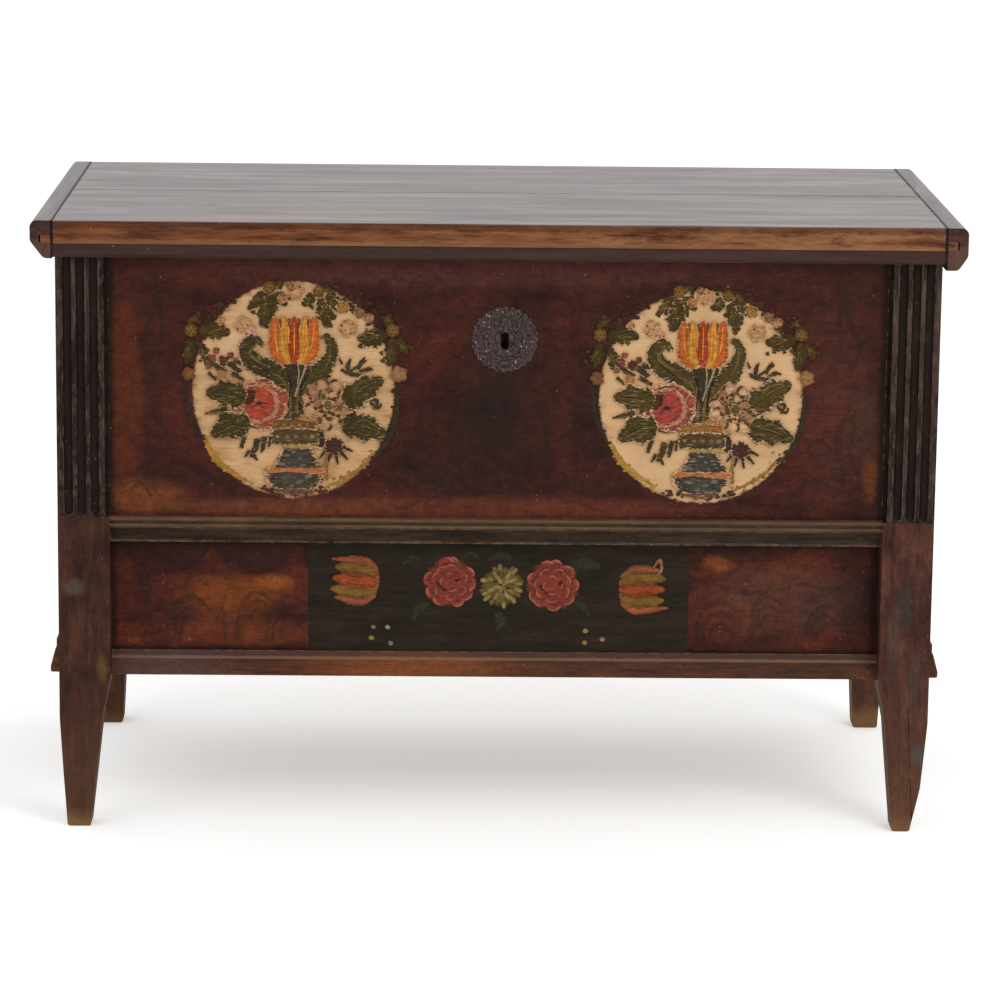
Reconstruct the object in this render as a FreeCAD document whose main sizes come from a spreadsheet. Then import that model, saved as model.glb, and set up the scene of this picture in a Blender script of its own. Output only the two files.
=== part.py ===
import FreeCAD, Part
import os
from types import SimpleNamespace
import Sketcher
from FreeCAD import Rotation, Vector

# Painted wedding chest on four legs, lid shut. The front looks along -Y, +X is to the
# right of someone who faces it, +Z is up. The origin lies on the floor under the middle
# of the lid. Lengths are millimetres.

SIZES = {
    # Whole chest
    "lid_width": 1180.0,
    "lid_depth": 610.0,
    "overall_height": 794.0,
    "lid_front_overhang": 22.0,
    "lid_rear_overhang": 23.0,
    "lid_side_clearance": 1.5,
    "lid_gap": 0.4,
    # Fits: what slides or seats, and how far a cutting tool overruns
    "joint_fit": 0.2,
    "running_gap": 0.3,
    "pin_fit": 0.05,
    "cut_overrun": 5.0,
    # Lid
    "lid_thickness": 29.0,
    "lid_front_board_depth": 306.0,
    "lid_tongue_length": 14.0,
    "lid_tongue_height": 10.0,
    "lid_tongue_rise": 1.0,
    "lid_edge_round": 3.0,
    "batten_width": 27.5,
    "left_batten_height": 48.0,
    "right_batten_height": 54.0,
    "batten_groove_depth": 16.0,
    "batten_round": 9.0,
    "left_batten_side": 26.0,
    "left_batten_slant": 17.0,
    "right_batten_side": 36.0,
    "right_batten_slant": 12.0,
    "strip_height": 18.0,
    "strip_setback": 2.0,
    "strip_clearance": 2.0,
    "strip_bevel": 4.0,
    "peg_radius": 4.0,
    "peg_end_inset": 70.0,
    "peg_stop": 14.0,
    # Posts and legs
    "post_width": 66.0,
    "post_depth": 60.0,
    "post_round": 2.0,
    "foot_depth": 38.0,
    "depth_taper_height": 190.0,
    "outer_taper_height": 145.0,
    "foot_round": 4.0,
    "front_left_outer_taper": 9.0,
    "front_left_outer_knee": 4.0,
    "front_left_outer_knee_height": 75.0,
    "front_left_inner_taper": 27.0,
    "front_left_inner_knee": 11.0,
    "front_left_inner_knee_height": 145.0,
    "front_right_outer_taper": 20.0,
    "front_right_outer_knee": 7.0,
    "front_right_outer_knee_height": 60.0,
    "front_right_inner_taper": 23.0,
    "front_right_inner_knee": 11.0,
    "front_right_inner_knee_height": 140.0,
    "rear_outer_taper": 6.0,
    "rear_outer_knee": 3.0,
    "rear_outer_knee_height": 75.0,
    "rear_inner_taper": 25.0,
    "rear_inner_knee": 21.0,
    "rear_inner_knee_height": 75.0,
    # Fluted upper part of the front posts
    "step_height": 410.0,
    "pilaster_inset": 5.0,
    "pilaster_relief": 1.5,
    "flute_radius": 6.0,
    "flute_rise": 2.0,
    "flute_pitch": 16.8,
    "flute_margin": 14.5,
    "flute_stop": 2.0,
    # Tongues, grooves and tenons
    "tongue_thickness": 10.0,
    "tongue_length": 11.0,
    "groove_depth": 12.0,
    "tenon_length": 28.0,
    "tenon_thickness": 14.0,
    "tenon_setback": 34.0,
    "tenon_shoulder": 7.0,
    "mortise_clearance": 1.0,
    # Front of the carcass
    "panel_setback": 14.0,
    "panel_thickness": 22.0,
    "panel_tongue_offset": 6.0,
    "frieze_setback": 35.0,
    "frieze_thickness": 20.0,
    "frieze_tongue_offset": 5.0,
    "mid_rail_height": 35.0,
    "mid_rail_face": 9.0,
    "mid_bead_radius": 2.7,
    "mid_bead_proud": 6.0,
    "mid_lower_bead_radius": 2.2,
    "mid_lower_bead_proud": 4.5,
    "mid_bead_gap": 3.4,
    "mid_cove_radius": 10.5,
    "mid_cove_rise": 9.3,
    "mid_fillet_setback": 17.0,
    "base_rail_height": 31.0,
    "base_rail_bottom": 198.0,
    "base_rail_projection": 15.0,
    # Side boards, back boards and floor
    "side_setback": 12.0,
    "side_thickness": 22.0,
    "side_tongue_offset": 6.0,
    "side_bottom": 204.0,
    "side_joint_height": 484.0,
    "back_thickness": 20.0,
    "back_tongue_offset": 5.0,
    "floor_thickness": 18.0,
    "bearer_width": 25.0,
    "side_moulding_height": 44.0,
    "side_moulding_bottom": 205.0,
    "side_moulding_projection": 11.0,
    "side_moulding_front_setback": 5.0,
    # Till at the left end
    "till_width": 150.0,
    "till_height": 110.0,
    "till_thickness": 12.0,
    "till_drop": 24.0,
    # Lock
    "keyhole_offset": 8.0,
    "keyhole_drop": 118.5,
    "keyhole_radius": 5.5,
    "keyhole_slot_width": 7.0,
    "keyhole_slot_length": 18.0,
    "keyhole_oval_reach": 11.5,
    "lock_plate_width": 170.0,
    "lock_plate_above": 104.0,
    "lock_plate_below": 42.0,
    "lock_plate_thickness": 3.0,
    "bolt_stand_off": 11.0,
    "bolt_thickness": 6.0,
    "bolt_height": 12.0,
    "bolt_rise": 65.0,
    "bolt_length": 78.0,
    "bolt_tail": 14.0,
    "bolt_tail_clearance": 9.0,
    "bolt_travel": 12.0,
    "staple_gap": 3.0,
    "staple_thickness": 5.0,
    "staple_wall": 4.0,
    "staple_play": 1.0,
    "staple_offset": 24.0,
    "staple_plate_length": 46.0,
    "staple_plate_width": 24.0,
    "staple_plate_thickness": 2.5,
    "guide_width": 8.0,
    "guide_wall": 3.5,
    "guide_spacing": 56.0,
    "guide_clearance": 1.0,
    "cover_half_width": 30.0,
    "cover_height": 56.0,
    "cover_below": 26.0,
    "cover_sheet": 2.5,
    "cover_depth": 22.0,
    "key_pin_radius": 2.5,
    "key_pin_length": 15.0,
    "spring_thickness": 1.2,
    "spring_width": 8.0,
    "spring_lift": 7.0,
    # Iron rosette round the keyhole
    "rosette_drop": 4.5,
    "rosette_radius": 37.8,
    "rosette_thickness": 1.6,
    "rosette_lobe_radius": 4.8,
    "rosette_boss_radius": 14.0,
    "rosette_boss_height": 2.0,
    "rosette_ring_radius": 25.0,
    "rosette_ring_wire": 1.6,
    # Strap hinges
    "hinge_inset": 260.0,
    "strap_width": 44.0,
    "strap_tip_width": 18.0,
    "strap_reach": 43.0,
    "strap_point": 24.0,
    "strap_thickness": 3.0,
    "hinge_pin_radius": 3.0,
    "hinge_pin_overhang": 2.5,
    "leaf_length": 96.0,
    # Nails
    "nail_radius": 1.5,
    "nail_length": 30.0,
    "nail_head_radius": 3.6,
    "nail_head_height": 1.4,
    "rosette_pin_radius": 0.9,
    "rosette_pin_length": 16.0,
    "rosette_pin_head_radius": 2.0,
    "rosette_pin_head_height": 1.0,
    "short_nail_length": 22.0,
}

# How many of each repeated piece the chest has
FLUTE_COUNT = 3
FLOOR_BOARD_COUNT = 5
BACK_BOARD_COUNT = 3
ROSETTE_LOBE_COUNT = 28
ROSETTE_PIN_COUNT = 6

# Profile of the base moulding, from its foot up: shares of its projection and height
FILLET_SHARE = 0.28
FILLET_MIDDLE_SHARE = 0.88
BASE_MOULDING_SHARES = [
    (0.90, 0.0),
    (1.0, 0.05),
    (1.0, 0.18),
    (0.44, 0.70),
    (FILLET_SHARE, 0.76),
    (FILLET_SHARE, 1.0),
]

# Where nails stand along a rail: shares of half its length
STRIP_NAIL_SHARES = [-0.9, -0.45, 0.0, 0.45, 0.9]
BEARER_NAIL_SHARES = [-0.8, -0.1, 0.8]

doc = FreeCAD.newDocument("WeddingChest")


class Length:
    """A length known both as a number and as a sum of the sheet's cells."""

    def __init__(self, text, value):
        self.text = text
        self.value = value

    def join(self, sign, other, value):
        return Length(f"({self.text} {sign} {other.text})", value)

    def __add__(self, other):
        other = as_length(other)
        return self.join("+", other, self.value + other.value)

    def __sub__(self, other):
        other = as_length(other)
        return self.join("-", other, self.value - other.value)

    def __rsub__(self, other):
        return as_length(other) - self

    def __mul__(self, other):
        other = as_length(other)
        return self.join("*", other, self.value * other.value)

    def __truediv__(self, other):
        other = as_length(other)
        return self.join("/", other, self.value / other.value)

    def __neg__(self):
        return NOTHING - self


def as_length(number):
    """Turn a plain number into a Length, and leave a Length as it is."""
    if isinstance(number, Length):
        return number
    return Length(repr(float(number)), float(number))


NOTHING = as_length(0)


def make_sheet():
    """Write every driving size to the spreadsheet and give each back as a Length."""
    sheet = doc.addObject("Spreadsheet::Sheet", "Sizes")
    lengths = {}
    for row, (name, value) in enumerate(SIZES.items(), start=1):
        sheet.set(f"A{row}", name)
        sheet.set(f"B{row}", str(value))
        sheet.setAlias(f"B{row}", name)
        lengths[name] = Length(f"Sizes.{name}", value)
    return SimpleNamespace(**lengths)


s = make_sheet()
doc.recompute()

# Places that many pieces share
carcass_half = s.lid_width / 2 - s.batten_width - s.lid_side_clearance
front_face = s.lid_front_overhang - s.lid_depth / 2
rear_face = s.lid_depth / 2 - s.lid_rear_overhang
lid_underside = s.overall_height - s.lid_thickness
rim_height = lid_underside - s.lid_gap
lid_joint_y = s.lid_front_board_depth - s.lid_depth / 2
keyhole_z = lid_underside - s.keyhole_drop
hinge_x = s.lid_width / 2 - s.hinge_inset
post_inner = carcass_half - s.post_width
mid_rail_bottom = s.step_height - s.mid_rail_height
base_rail_top = s.base_rail_bottom + s.base_rail_height
frieze_back = front_face + s.frieze_setback + s.frieze_thickness
panel_front = front_face + s.panel_setback
panel_back = panel_front + s.panel_thickness
back_inner = rear_face - s.back_thickness
side_outer = carcass_half - s.side_setback
side_inner = side_outer - s.side_thickness
rear_post_front = rear_face - s.post_depth
groove_width = s.tongue_thickness + s.joint_fit * 2

# Each finished piece by its node name, and the holes to be drilled in it
pieces = {}
holes = {}


def seat(item, place):
    """Bind an object's position to three lengths."""
    for axis, length in zip("xyz", place):
        item.setExpression(f"Placement.Base.{axis}", as_length(length).text)
    return item


def point_along(item, direction):
    """Turn an object so that its own Z axis points along a direction."""
    item.Placement = FreeCAD.Placement(Vector(), Rotation(Vector(0, 0, 1), direction))
    return item


def box(name, place, size):
    """A block with its lowest corner at a place."""
    item = doc.addObject("Part::Box", name)
    for side, length in zip(("Length", "Width", "Height"), size):
        item.setExpression(side, as_length(length).text)
    return seat(item, place)


def cylinder(name, place, radius, height, direction=Vector(0, 0, 1)):
    """A round bar that starts at a place and runs along a direction."""
    item = doc.addObject("Part::Cylinder", name)
    item.setExpression("Radius", radius.text)
    item.setExpression("Height", height.text)
    point_along(item, direction)
    return seat(item, place)


def fuse(name, shapes):
    """Several shapes joined into one solid."""
    item = doc.addObject("Part::MultiFuse", name)
    item.Shapes = shapes
    return item


def group(name, shapes):
    """Several separate solids kept together as one object."""
    item = doc.addObject("Part::Compound", name)
    item.Links = shapes
    return item


def cut(name, base, tool):
    """One shape with another taken out of it."""
    item = doc.addObject("Part::Cut", name)
    item.Base = base
    item.Tool = tool
    return item


def pin_point(sketch, line, kind, length):
    """Fix one coordinate of a line's start, measured from the sketch's origin."""
    if length is NOTHING:
        axis = -2 if kind == "DistanceX" else -1
        sketch.addConstraint(Sketcher.Constraint("PointOnObject", line, 1, axis))
        return
    constraint = Sketcher.Constraint(kind, -1, 1, line, 1, length.value)
    index = sketch.addConstraint(constraint)
    sketch.setExpression(f"Constraints[{index}]", length.text)


def prism(name, plane, points, depth, place):
    """A PartDesign body: a closed outline on one of its planes, padded along +X, +Y or +Z."""
    body = doc.addObject("PartDesign::Body", name)
    sketch = body.newObject("Sketcher::SketchObject", name + "Outline")
    support = [item for item in body.Origin.OriginFeatures if item.Role == plane]
    sketch.AttachmentSupport = [(support[0], "")]
    sketch.MapMode = "FlatFace"
    corners = [(as_length(u), as_length(v)) for u, v in points]
    vectors = [Vector(u.value, v.value, 0) for u, v in corners]
    for index, start in enumerate(vectors):
        sketch.addGeometry(Part.LineSegment(start, vectors[(index + 1) % len(vectors)]), False)
    for index in range(len(vectors)):
        following = (index + 1) % len(vectors)
        sketch.addConstraint(Sketcher.Constraint("Coincident", index, 2, following, 1))
    for index, (u, v) in enumerate(corners):
        pin_point(sketch, index, "DistanceX", u)
        pin_point(sketch, index, "DistanceY", v)
    pad = body.newObject("PartDesign::Pad", name + "Pad")
    pad.Profile = sketch
    pad.setExpression("Length", as_length(depth).text)
    pad.Reversed = plane == "XZ_Plane"
    body.Tip = pad
    return seat(body, place)


def round_edges(body, radius, chosen):
    """Fillet those edges of a body's last feature for which chosen(edge) is true."""
    doc.recompute()
    base = body.Tip
    names = []
    for index, edge in enumerate(base.Shape.Edges, start=1):
        if chosen(edge):
            names.append(f"Edge{index}")
    fillet = body.newObject("PartDesign::Fillet", base.Name + "Rounding")
    fillet.Base = (base, names)
    fillet.setExpression("Radius", radius.text)
    body.Tip = fillet


def runs_along(edge, axis):
    """Whether a straight edge is parallel to an axis."""
    if len(edge.Vertexes) < 2:
        return False
    span = edge.Vertexes[-1].Point - edge.Vertexes[0].Point
    return span.Length > 0 and abs(abs(span.normalize().dot(axis)) - 1) < 1e-6


def near(first, second):
    """Whether two numbers are the same to a hundredth of a millimetre."""
    return abs(first - second) < 0.01


def nails(name, spots, direction, hosts, radius, length, head_radius, head_height):
    """A group of nails whose heads sit on a face; direction points out of that face."""
    solids = []
    for index, spot in enumerate(spots, start=1):
        label = f"{name}_{index}"
        shank = cylinder(f"{label}_shank", spot, radius, length, -direction)
        head = doc.addObject("Part::Cone", f"{label}_head")
        head.setExpression("Radius1", head_radius.text)
        head.setExpression("Radius2", (head_radius / 2).text)
        head.setExpression("Height", head_height.text)
        point_along(head, direction)
        seat(head, spot)
        solids.append(fuse(label, [head, shank]))
        for host in hosts:
            hole = cylinder(f"{label}_hole", spot, radius + s.joint_fit / 2,
                            length + s.joint_fit, -direction)
            holes.setdefault(host, []).append(hole)
    pieces[name] = group(name, solids)


def iron_nails(name, spots, direction, hosts, length):
    """Forged nails of the common size."""
    nails(name, spots, direction, hosts, s.nail_radius, length,
          s.nail_head_radius, s.nail_head_height)


# Posts: each is a leg and a corner of the carcass in one piece of wood

def post(side, end):
    """A corner post; side is left or right, end is front or rear."""
    name = f"{end}_{side}_post"
    left = side == "left"
    front = end == "front"
    leg = f"front_{side}" if front else "rear"
    outer_taper = getattr(s, f"{leg}_outer_taper")
    outer_knee = getattr(s, f"{leg}_outer_knee")
    outer_knee_height = getattr(s, f"{leg}_outer_knee_height")
    inner_taper = getattr(s, f"{leg}_inner_taper")
    inner_knee = getattr(s, f"{leg}_inner_knee")
    inner_knee_height = getattr(s, f"{leg}_inner_knee_height")
    corner_x = -carcass_half if left else post_inner
    corner_y = front_face if front else rear_post_front

    def across(distance):
        """A place measured inwards from the outer face."""
        return as_length(distance) if left else s.post_width - distance

    def spread(start, width):
        """Lower x of a strip that starts at a distance from the outer face."""
        return as_length(start) if left else s.post_width - start - width

    def sink(start, depth):
        """Lower y of a strip that starts at a distance from the front or rear face."""
        return as_length(start) if front else s.post_depth - start - depth

    outline = [
        (across(outer_taper), NOTHING),
        (across(s.post_width - inner_taper), NOTHING),
        (across(s.post_width - inner_knee), inner_knee_height),
        (across(s.post_width), s.base_rail_bottom),
        (across(s.post_width), rim_height),
        (across(NOTHING), rim_height),
        (across(NOTHING), s.outer_taper_height),
        (across(outer_knee), outer_knee_height),
    ]
    blank = prism(f"{name}_blank", "XZ_Plane", outline, s.post_depth, (0, 0, 0))
    outer_x = 0.0 if left else s.post_width.value
    front_y = 0.0 if front else s.post_depth.value

    def outer_arris(edge):
        """The long upright arris where the outer face meets the front or rear face."""
        middle = edge.CenterOfMass
        upright = runs_along(edge, Vector(0, 0, 1))
        return upright and near(middle.x, outer_x) and near(middle.y, front_y)

    round_edges(blank, s.post_round, outer_arris)
    round_edges(blank, s.foot_round,
                lambda edge: runs_along(edge, Vector(0, 1, 0)) and near(edge.CenterOfMass.z, 0.0))

    def tool(label, start, width, sunk, depth, bottom, height):
        """A cutting block placed from the outer face and from the front or rear face."""
        place = (spread(start, width), sink(sunk, depth), bottom)
        return box(f"{name}_{label}", place, (width, depth, height))

    over = s.cut_overrun
    above_rim = rim_height + over
    tools = [
        tool("side_groove", s.side_setback + s.side_tongue_offset - s.joint_fit, groove_width,
             s.post_depth - s.groove_depth, s.groove_depth + over,
             s.side_bottom, above_rim - s.side_bottom),
    ]
    slope_start = s.foot_depth if front else s.post_depth - s.foot_depth
    slope_top = s.post_depth if front else NOTHING
    beyond = s.post_depth + over if front else -over
    slope = [
        (slope_start, -over),
        (slope_start, NOTHING),
        (slope_top, s.depth_taper_height),
        (beyond, s.depth_taper_height),
        (beyond, -over),
    ]
    tools.append(prism(f"{name}_slope", "YZ_Plane", slope, s.post_width + over * 2,
                       (-over, 0, 0)))
    inner_start = s.post_width - s.groove_depth
    inner_width = s.groove_depth + over
    if front:
        tools += front_post_tools(tool, name, across)
    else:
        tools.append(tool("back_groove", inner_start, inner_width,
                          s.back_tongue_offset - s.joint_fit, groove_width,
                          s.side_bottom, above_rim - s.side_bottom))
    shaped = cut(f"{name}_shaped", blank, fuse(f"{name}_tools", tools))
    pieces[name] = seat(shaped, (corner_x, corner_y, 0))


def front_post_tools(tool, name, across):
    """What is cut from a front post: flutes, their relief, panel grooves and mortises."""
    over = s.cut_overrun
    above_rim = rim_height + over
    inner_start = s.post_width - s.groove_depth
    inner_width = s.groove_depth + over
    upper = above_rim - s.step_height
    mortise_width = s.tenon_length + s.mortise_clearance
    mortise_start = s.post_width - mortise_width
    mortise_depth = s.tenon_thickness + s.joint_fit * 2
    tools = [
        tool("relief", -over, s.post_width + over * 2, -over, over + s.pilaster_relief,
             s.step_height, upper),
        tool("inset", s.post_width - s.pilaster_inset, s.pilaster_inset + over, -over,
             over + s.panel_setback, s.step_height, upper),
        tool("panel_groove", inner_start, inner_width,
             s.panel_setback + s.panel_tongue_offset - s.joint_fit, groove_width,
             s.step_height, upper),
        tool("frieze_groove", inner_start, inner_width,
             s.frieze_setback + s.frieze_tongue_offset - s.joint_fit, groove_width,
             base_rail_top, mid_rail_bottom - base_rail_top),
    ]
    for label, bottom, top in rail_levels():
        low = bottom + s.tenon_shoulder - s.joint_fit
        tools.append(tool(f"{label}_mortise", mortise_start, mortise_width + over,
                          s.tenon_setback - s.joint_fit, mortise_depth,
                          low, top - s.tenon_shoulder + s.joint_fit - low))
    flute_y = s.pilaster_relief - s.flute_rise
    flute_bottom = s.step_height + s.flute_stop + s.flute_radius
    for index in range(FLUTE_COUNT):
        flute_x = across(s.flute_margin + s.flute_pitch * index)
        label = f"{name}_flute_{index + 1}"
        tools.append(cylinder(label, (flute_x, flute_y, flute_bottom), s.flute_radius,
                              above_rim - flute_bottom))
        scoop = doc.addObject("Part::Sphere", f"{label}_end")
        scoop.setExpression("Radius", s.flute_radius.text)
        tools.append(seat(scoop, (flute_x, flute_y, flute_bottom)))
    return tools


def rail_levels():
    """Name, bottom and top of the two front rails."""
    return [
        ("mid_rail", mid_rail_bottom, s.step_height),
        ("bottom_rail", s.base_rail_bottom, base_rail_top),
    ]


# Boards with a tongue on both ends

def tongued_outline(length, thickness, tongue, offset, reach):
    """Section of a board whose end tongues reach into grooves."""
    return [
        (reach, NOTHING),
        (reach + length, NOTHING),
        (reach + length, offset),
        (reach * 2 + length, offset),
        (reach * 2 + length, offset + tongue),
        (reach + length, offset + tongue),
        (reach + length, thickness),
        (reach, thickness),
        (reach, offset + tongue),
        (NOTHING, offset + tongue),
        (NOTHING, offset),
        (reach, offset),
    ]


def turned(body, degrees):
    """Turn a body about the upright axis and keep the sums that place it."""
    body.Placement = FreeCAD.Placement(Vector(), Rotation(Vector(0, 0, 1), degrees))
    return body


def carcass_board(name, thickness, offset, height, place, degrees, length):
    """An upright board whose end tongues stand in the posts' grooves."""
    outline = tongued_outline(length, thickness, s.tongue_thickness, offset, s.tongue_length)
    board = prism(f"{name}_board", "XY_Plane", outline, height, (0, 0, 0))
    turned(board, degrees)
    pieces[name] = seat(board, place)


def keyhole(name, start, depth):
    """The keyhole's shape: a round above a narrow slot, cut along Y."""
    round_part = cylinder(f"{name}_keyhole_round", (s.keyhole_offset, start, keyhole_z),
                          s.keyhole_radius, depth, Vector(0, 1, 0))
    slot = box(f"{name}_keyhole_slot",
               (s.keyhole_offset - s.keyhole_slot_width / 2, start,
                keyhole_z - s.keyhole_slot_length),
               (s.keyhole_slot_width, depth, s.keyhole_slot_length))
    return fuse(f"{name}_keyhole", [round_part, slot])


def keyhole_oval(name, start, depth):
    """The upright oval with round ends through panel and rosette, cut along Y."""
    ends = [cylinder(f"{name}_oval_{end}", (s.keyhole_offset, start, height),
                     s.keyhole_radius, depth, Vector(0, 1, 0))
            for end, height in (("top", keyhole_z), ("foot", keyhole_z - s.keyhole_oval_reach))]
    middle = box(f"{name}_oval_middle",
                 (s.keyhole_offset - s.keyhole_radius, start, keyhole_z - s.keyhole_oval_reach),
                 (s.keyhole_radius * 2, depth, s.keyhole_oval_reach))
    return fuse(f"{name}_oval", [*ends, middle])


def make_front():
    """Painted panel, frieze and the two moulded rails."""
    reach = s.tongue_length
    carcass_board("front_panel", s.panel_thickness, s.panel_tongue_offset,
                  rim_height - s.step_height,
                  (-post_inner - reach, panel_front, s.step_height), 0, post_inner * 2)
    opening = keyhole_oval("front_panel", panel_front - s.cut_overrun,
                           s.panel_thickness + s.cut_overrun * 2)
    pieces["front_panel"] = cut("front_panel_pierced", pieces["front_panel"], opening)
    carcass_board("front_frieze", s.frieze_thickness, s.frieze_tongue_offset,
                  mid_rail_bottom - base_rail_top,
                  (-post_inner - reach, front_face + s.frieze_setback, base_rail_top),
                  0, post_inner * 2)
    for name, bottom, top in rail_levels():
        tenon = box(f"{name}_tenons",
                    (-post_inner - s.tenon_length, front_face + s.tenon_setback,
                     bottom + s.tenon_shoulder),
                    ((post_inner + s.tenon_length) * 2, s.tenon_thickness,
                     top - bottom - s.tenon_shoulder * 2))
        rail = mid_rail() if name == "mid_rail" else base_rail()
        pieces[f"front_{name}"] = fuse(f"front_{name}_whole", [rail, tenon])


def mid_rail():
    """Rail between panel and frieze: two beads above a cove and a small fillet."""
    left = -post_inner
    width = post_inner * 2
    along = Vector(1, 0, 0)
    face = front_face + s.mid_rail_face
    core = box("mid_rail_core", (left, face, mid_rail_bottom),
               (width, frieze_back - face, s.mid_rail_height))
    bead_y = face - s.mid_bead_proud + s.mid_bead_radius
    bead_z = s.step_height - s.mid_bead_radius
    lower_y = face - s.mid_lower_bead_proud + s.mid_lower_bead_radius
    lower_z = bead_z - s.mid_bead_radius - s.mid_bead_gap - s.mid_lower_bead_radius
    beads = [
        cylinder("mid_rail_bead", (left, bead_y, bead_z), s.mid_bead_radius, width, along),
        box("mid_rail_bead_back", (left, bead_y, bead_z - s.mid_bead_radius),
            (width, face - bead_y + s.running_gap, s.mid_bead_radius * 2)),
        cylinder("mid_rail_lower_bead", (left, lower_y, lower_z), s.mid_lower_bead_radius,
                 width, along),
        box("mid_rail_lower_bead_back", (left, lower_y, lower_z - s.mid_lower_bead_radius),
            (width, face - lower_y + s.running_gap, s.mid_lower_bead_radius * 2)),
    ]
    solid = fuse("mid_rail_solid", [core] + beads)
    cove_z = mid_rail_bottom + s.mid_cove_rise
    cove = cylinder("mid_rail_cove", (left - s.cut_overrun, face, cove_z),
                    s.mid_cove_radius, width + s.cut_overrun * 2, along)
    below = box("mid_rail_below",
                (left - s.cut_overrun, face - s.mid_cove_radius, mid_rail_bottom - s.cut_overrun),
                (width + s.cut_overrun * 2,
                 s.mid_fillet_setback - s.mid_rail_face + s.mid_cove_radius,
                 s.cut_overrun + s.mid_cove_rise))
    return cut("mid_rail_shaped", solid, fuse("mid_rail_tools", [cove, below]))


def moulding_points(projection, height, back):
    """Profile of the base moulding, with its back at zero and its foot on the axis."""
    points = [(back + projection * out, height * up) for out, up in BASE_MOULDING_SHARES]
    points[0] = (points[0][0], NOTHING)
    return [(NOTHING, NOTHING)] + points + [(NOTHING, as_length(height))]


def base_rail():
    """Bottom rail of the front: the base moulding worked on its face."""
    back = frieze_back - front_face - s.frieze_setback
    profile = moulding_points(s.base_rail_projection, s.base_rail_height, back)
    mirrored = [(frieze_back - front_face - out, up) for out, up in profile]
    return prism("bottom_rail_bar", "YZ_Plane", mirrored, post_inner * 2,
                 (-post_inner, front_face, s.base_rail_bottom))


def make_sides():
    """Two boards and a base moulding at each end."""
    reach = s.tongue_length
    span = rear_post_front - front_face - s.post_depth
    start_y = front_face + s.post_depth - reach
    levels = [("lower", s.side_bottom, s.side_joint_height),
              ("upper", s.side_joint_height, rim_height)]
    for part, bottom, top in levels:
        carcass_board(f"left_{part}_side_board", s.side_thickness,
                      s.side_thickness - s.side_tongue_offset - s.tongue_thickness,
                      top - bottom, (-side_inner, start_y, bottom), 90, span)
        carcass_board(f"right_{part}_side_board", s.side_thickness,
                      s.side_tongue_offset,
                      top - bottom, (side_outer, start_y, bottom), 90, span)
    length = rear_face - front_face - s.side_moulding_front_setback
    profile = moulding_points(s.side_moulding_projection, s.side_moulding_height, NOTHING)
    start = (front_face + s.side_moulding_front_setback, s.side_moulding_bottom)
    right = prism("right_side_moulding_bar", "XZ_Plane", profile, length,
                  (carcass_half, start[0], start[1]))
    left_profile = [(s.side_moulding_projection - out, up) for out, up in profile]
    left = prism("left_side_moulding_bar", "XZ_Plane", left_profile, length,
                 (-carcass_half - s.side_moulding_projection, start[0], start[1]))
    pieces["left_side_base_moulding"] = left
    pieces["right_side_base_moulding"] = right


def make_back():
    """Boards between the rear posts, flush with them; the top one is let in for the hinges."""
    total = rim_height - s.side_bottom
    each = total / BACK_BOARD_COUNT
    names = ["back_lower_board", "back_middle_board", "back_upper_board"]
    for index, name in enumerate(names):
        carcass_board(name, s.back_thickness,
                      s.back_thickness - s.back_tongue_offset - s.tongue_thickness,
                      each, (-post_inner - s.tongue_length, back_inner,
                             s.side_bottom + each * index), 0, post_inner * 2)
    depth = s.strap_thickness + s.running_gap
    notches = []
    for side, sign in (("left", -1), ("right", 1)):
        notches.append(box(f"{side}_hinge_notch",
                           (hinge_x * sign - s.strap_width / 2 - s.running_gap,
                            back_inner - s.cut_overrun, lid_underside - depth),
                           (s.strap_width + s.running_gap * 2,
                            s.back_thickness + s.cut_overrun * 2, depth + s.cut_overrun)))
    pieces["back_upper_board"] = cut("back_upper_board_notched", pieces["back_upper_board"],
                                     fuse("hinge_notches", notches))


def make_floor():
    """Bearers along front and back, and boards that run from front to back on them."""
    bearer_bottom = base_rail_top - s.bearer_width
    length = post_inner * 2 - s.joint_fit * 2
    pieces["front_floor_bearer"] = box("front_floor_bearer_bar",
                                       (s.joint_fit - post_inner, frieze_back, bearer_bottom),
                                       (length, s.bearer_width, s.bearer_width))
    pieces["rear_floor_bearer"] = box("rear_floor_bearer_bar",
                                      (s.joint_fit - post_inner, back_inner - s.bearer_width,
                                       bearer_bottom),
                                      (length, s.bearer_width, s.bearer_width))
    half = side_inner - s.joint_fit
    each = half * 2 / FLOOR_BOARD_COUNT
    front_y = frieze_back + s.joint_fit
    depth = back_inner - s.joint_fit - front_y
    for index in range(FLOOR_BOARD_COUNT):
        name = f"floor_board_{index + 1}"
        start = each * index - half
        board = box(f"{name}_plank", (start, front_y, base_rail_top),
                    (each - s.joint_fit, depth, s.floor_thickness))
        if index in (0, FLOOR_BOARD_COUNT - 1):
            board = cut(f"{name}_notched", board, post_notches(name, index == 0, front_y))
        pieces[name] = board


def post_notches(name, left, front_y):
    """Blocks that clear the two posts at one end of a board inside the chest."""
    over = s.cut_overrun
    width = side_inner - post_inner + over + s.joint_fit
    x = -side_inner - over if left else post_inner - s.joint_fit
    low = s.side_bottom
    height = s.overall_height - low
    front_depth = front_face + s.post_depth + s.joint_fit - front_y + over
    rear_start = rear_post_front - s.joint_fit
    return fuse(f"{name}_post_notches", [
        box(f"{name}_front_notch", (x, front_y - over, low), (width, front_depth, height)),
        box(f"{name}_rear_notch", (x, rear_start, low), (width, s.post_depth + over, height)),
    ])


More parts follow.
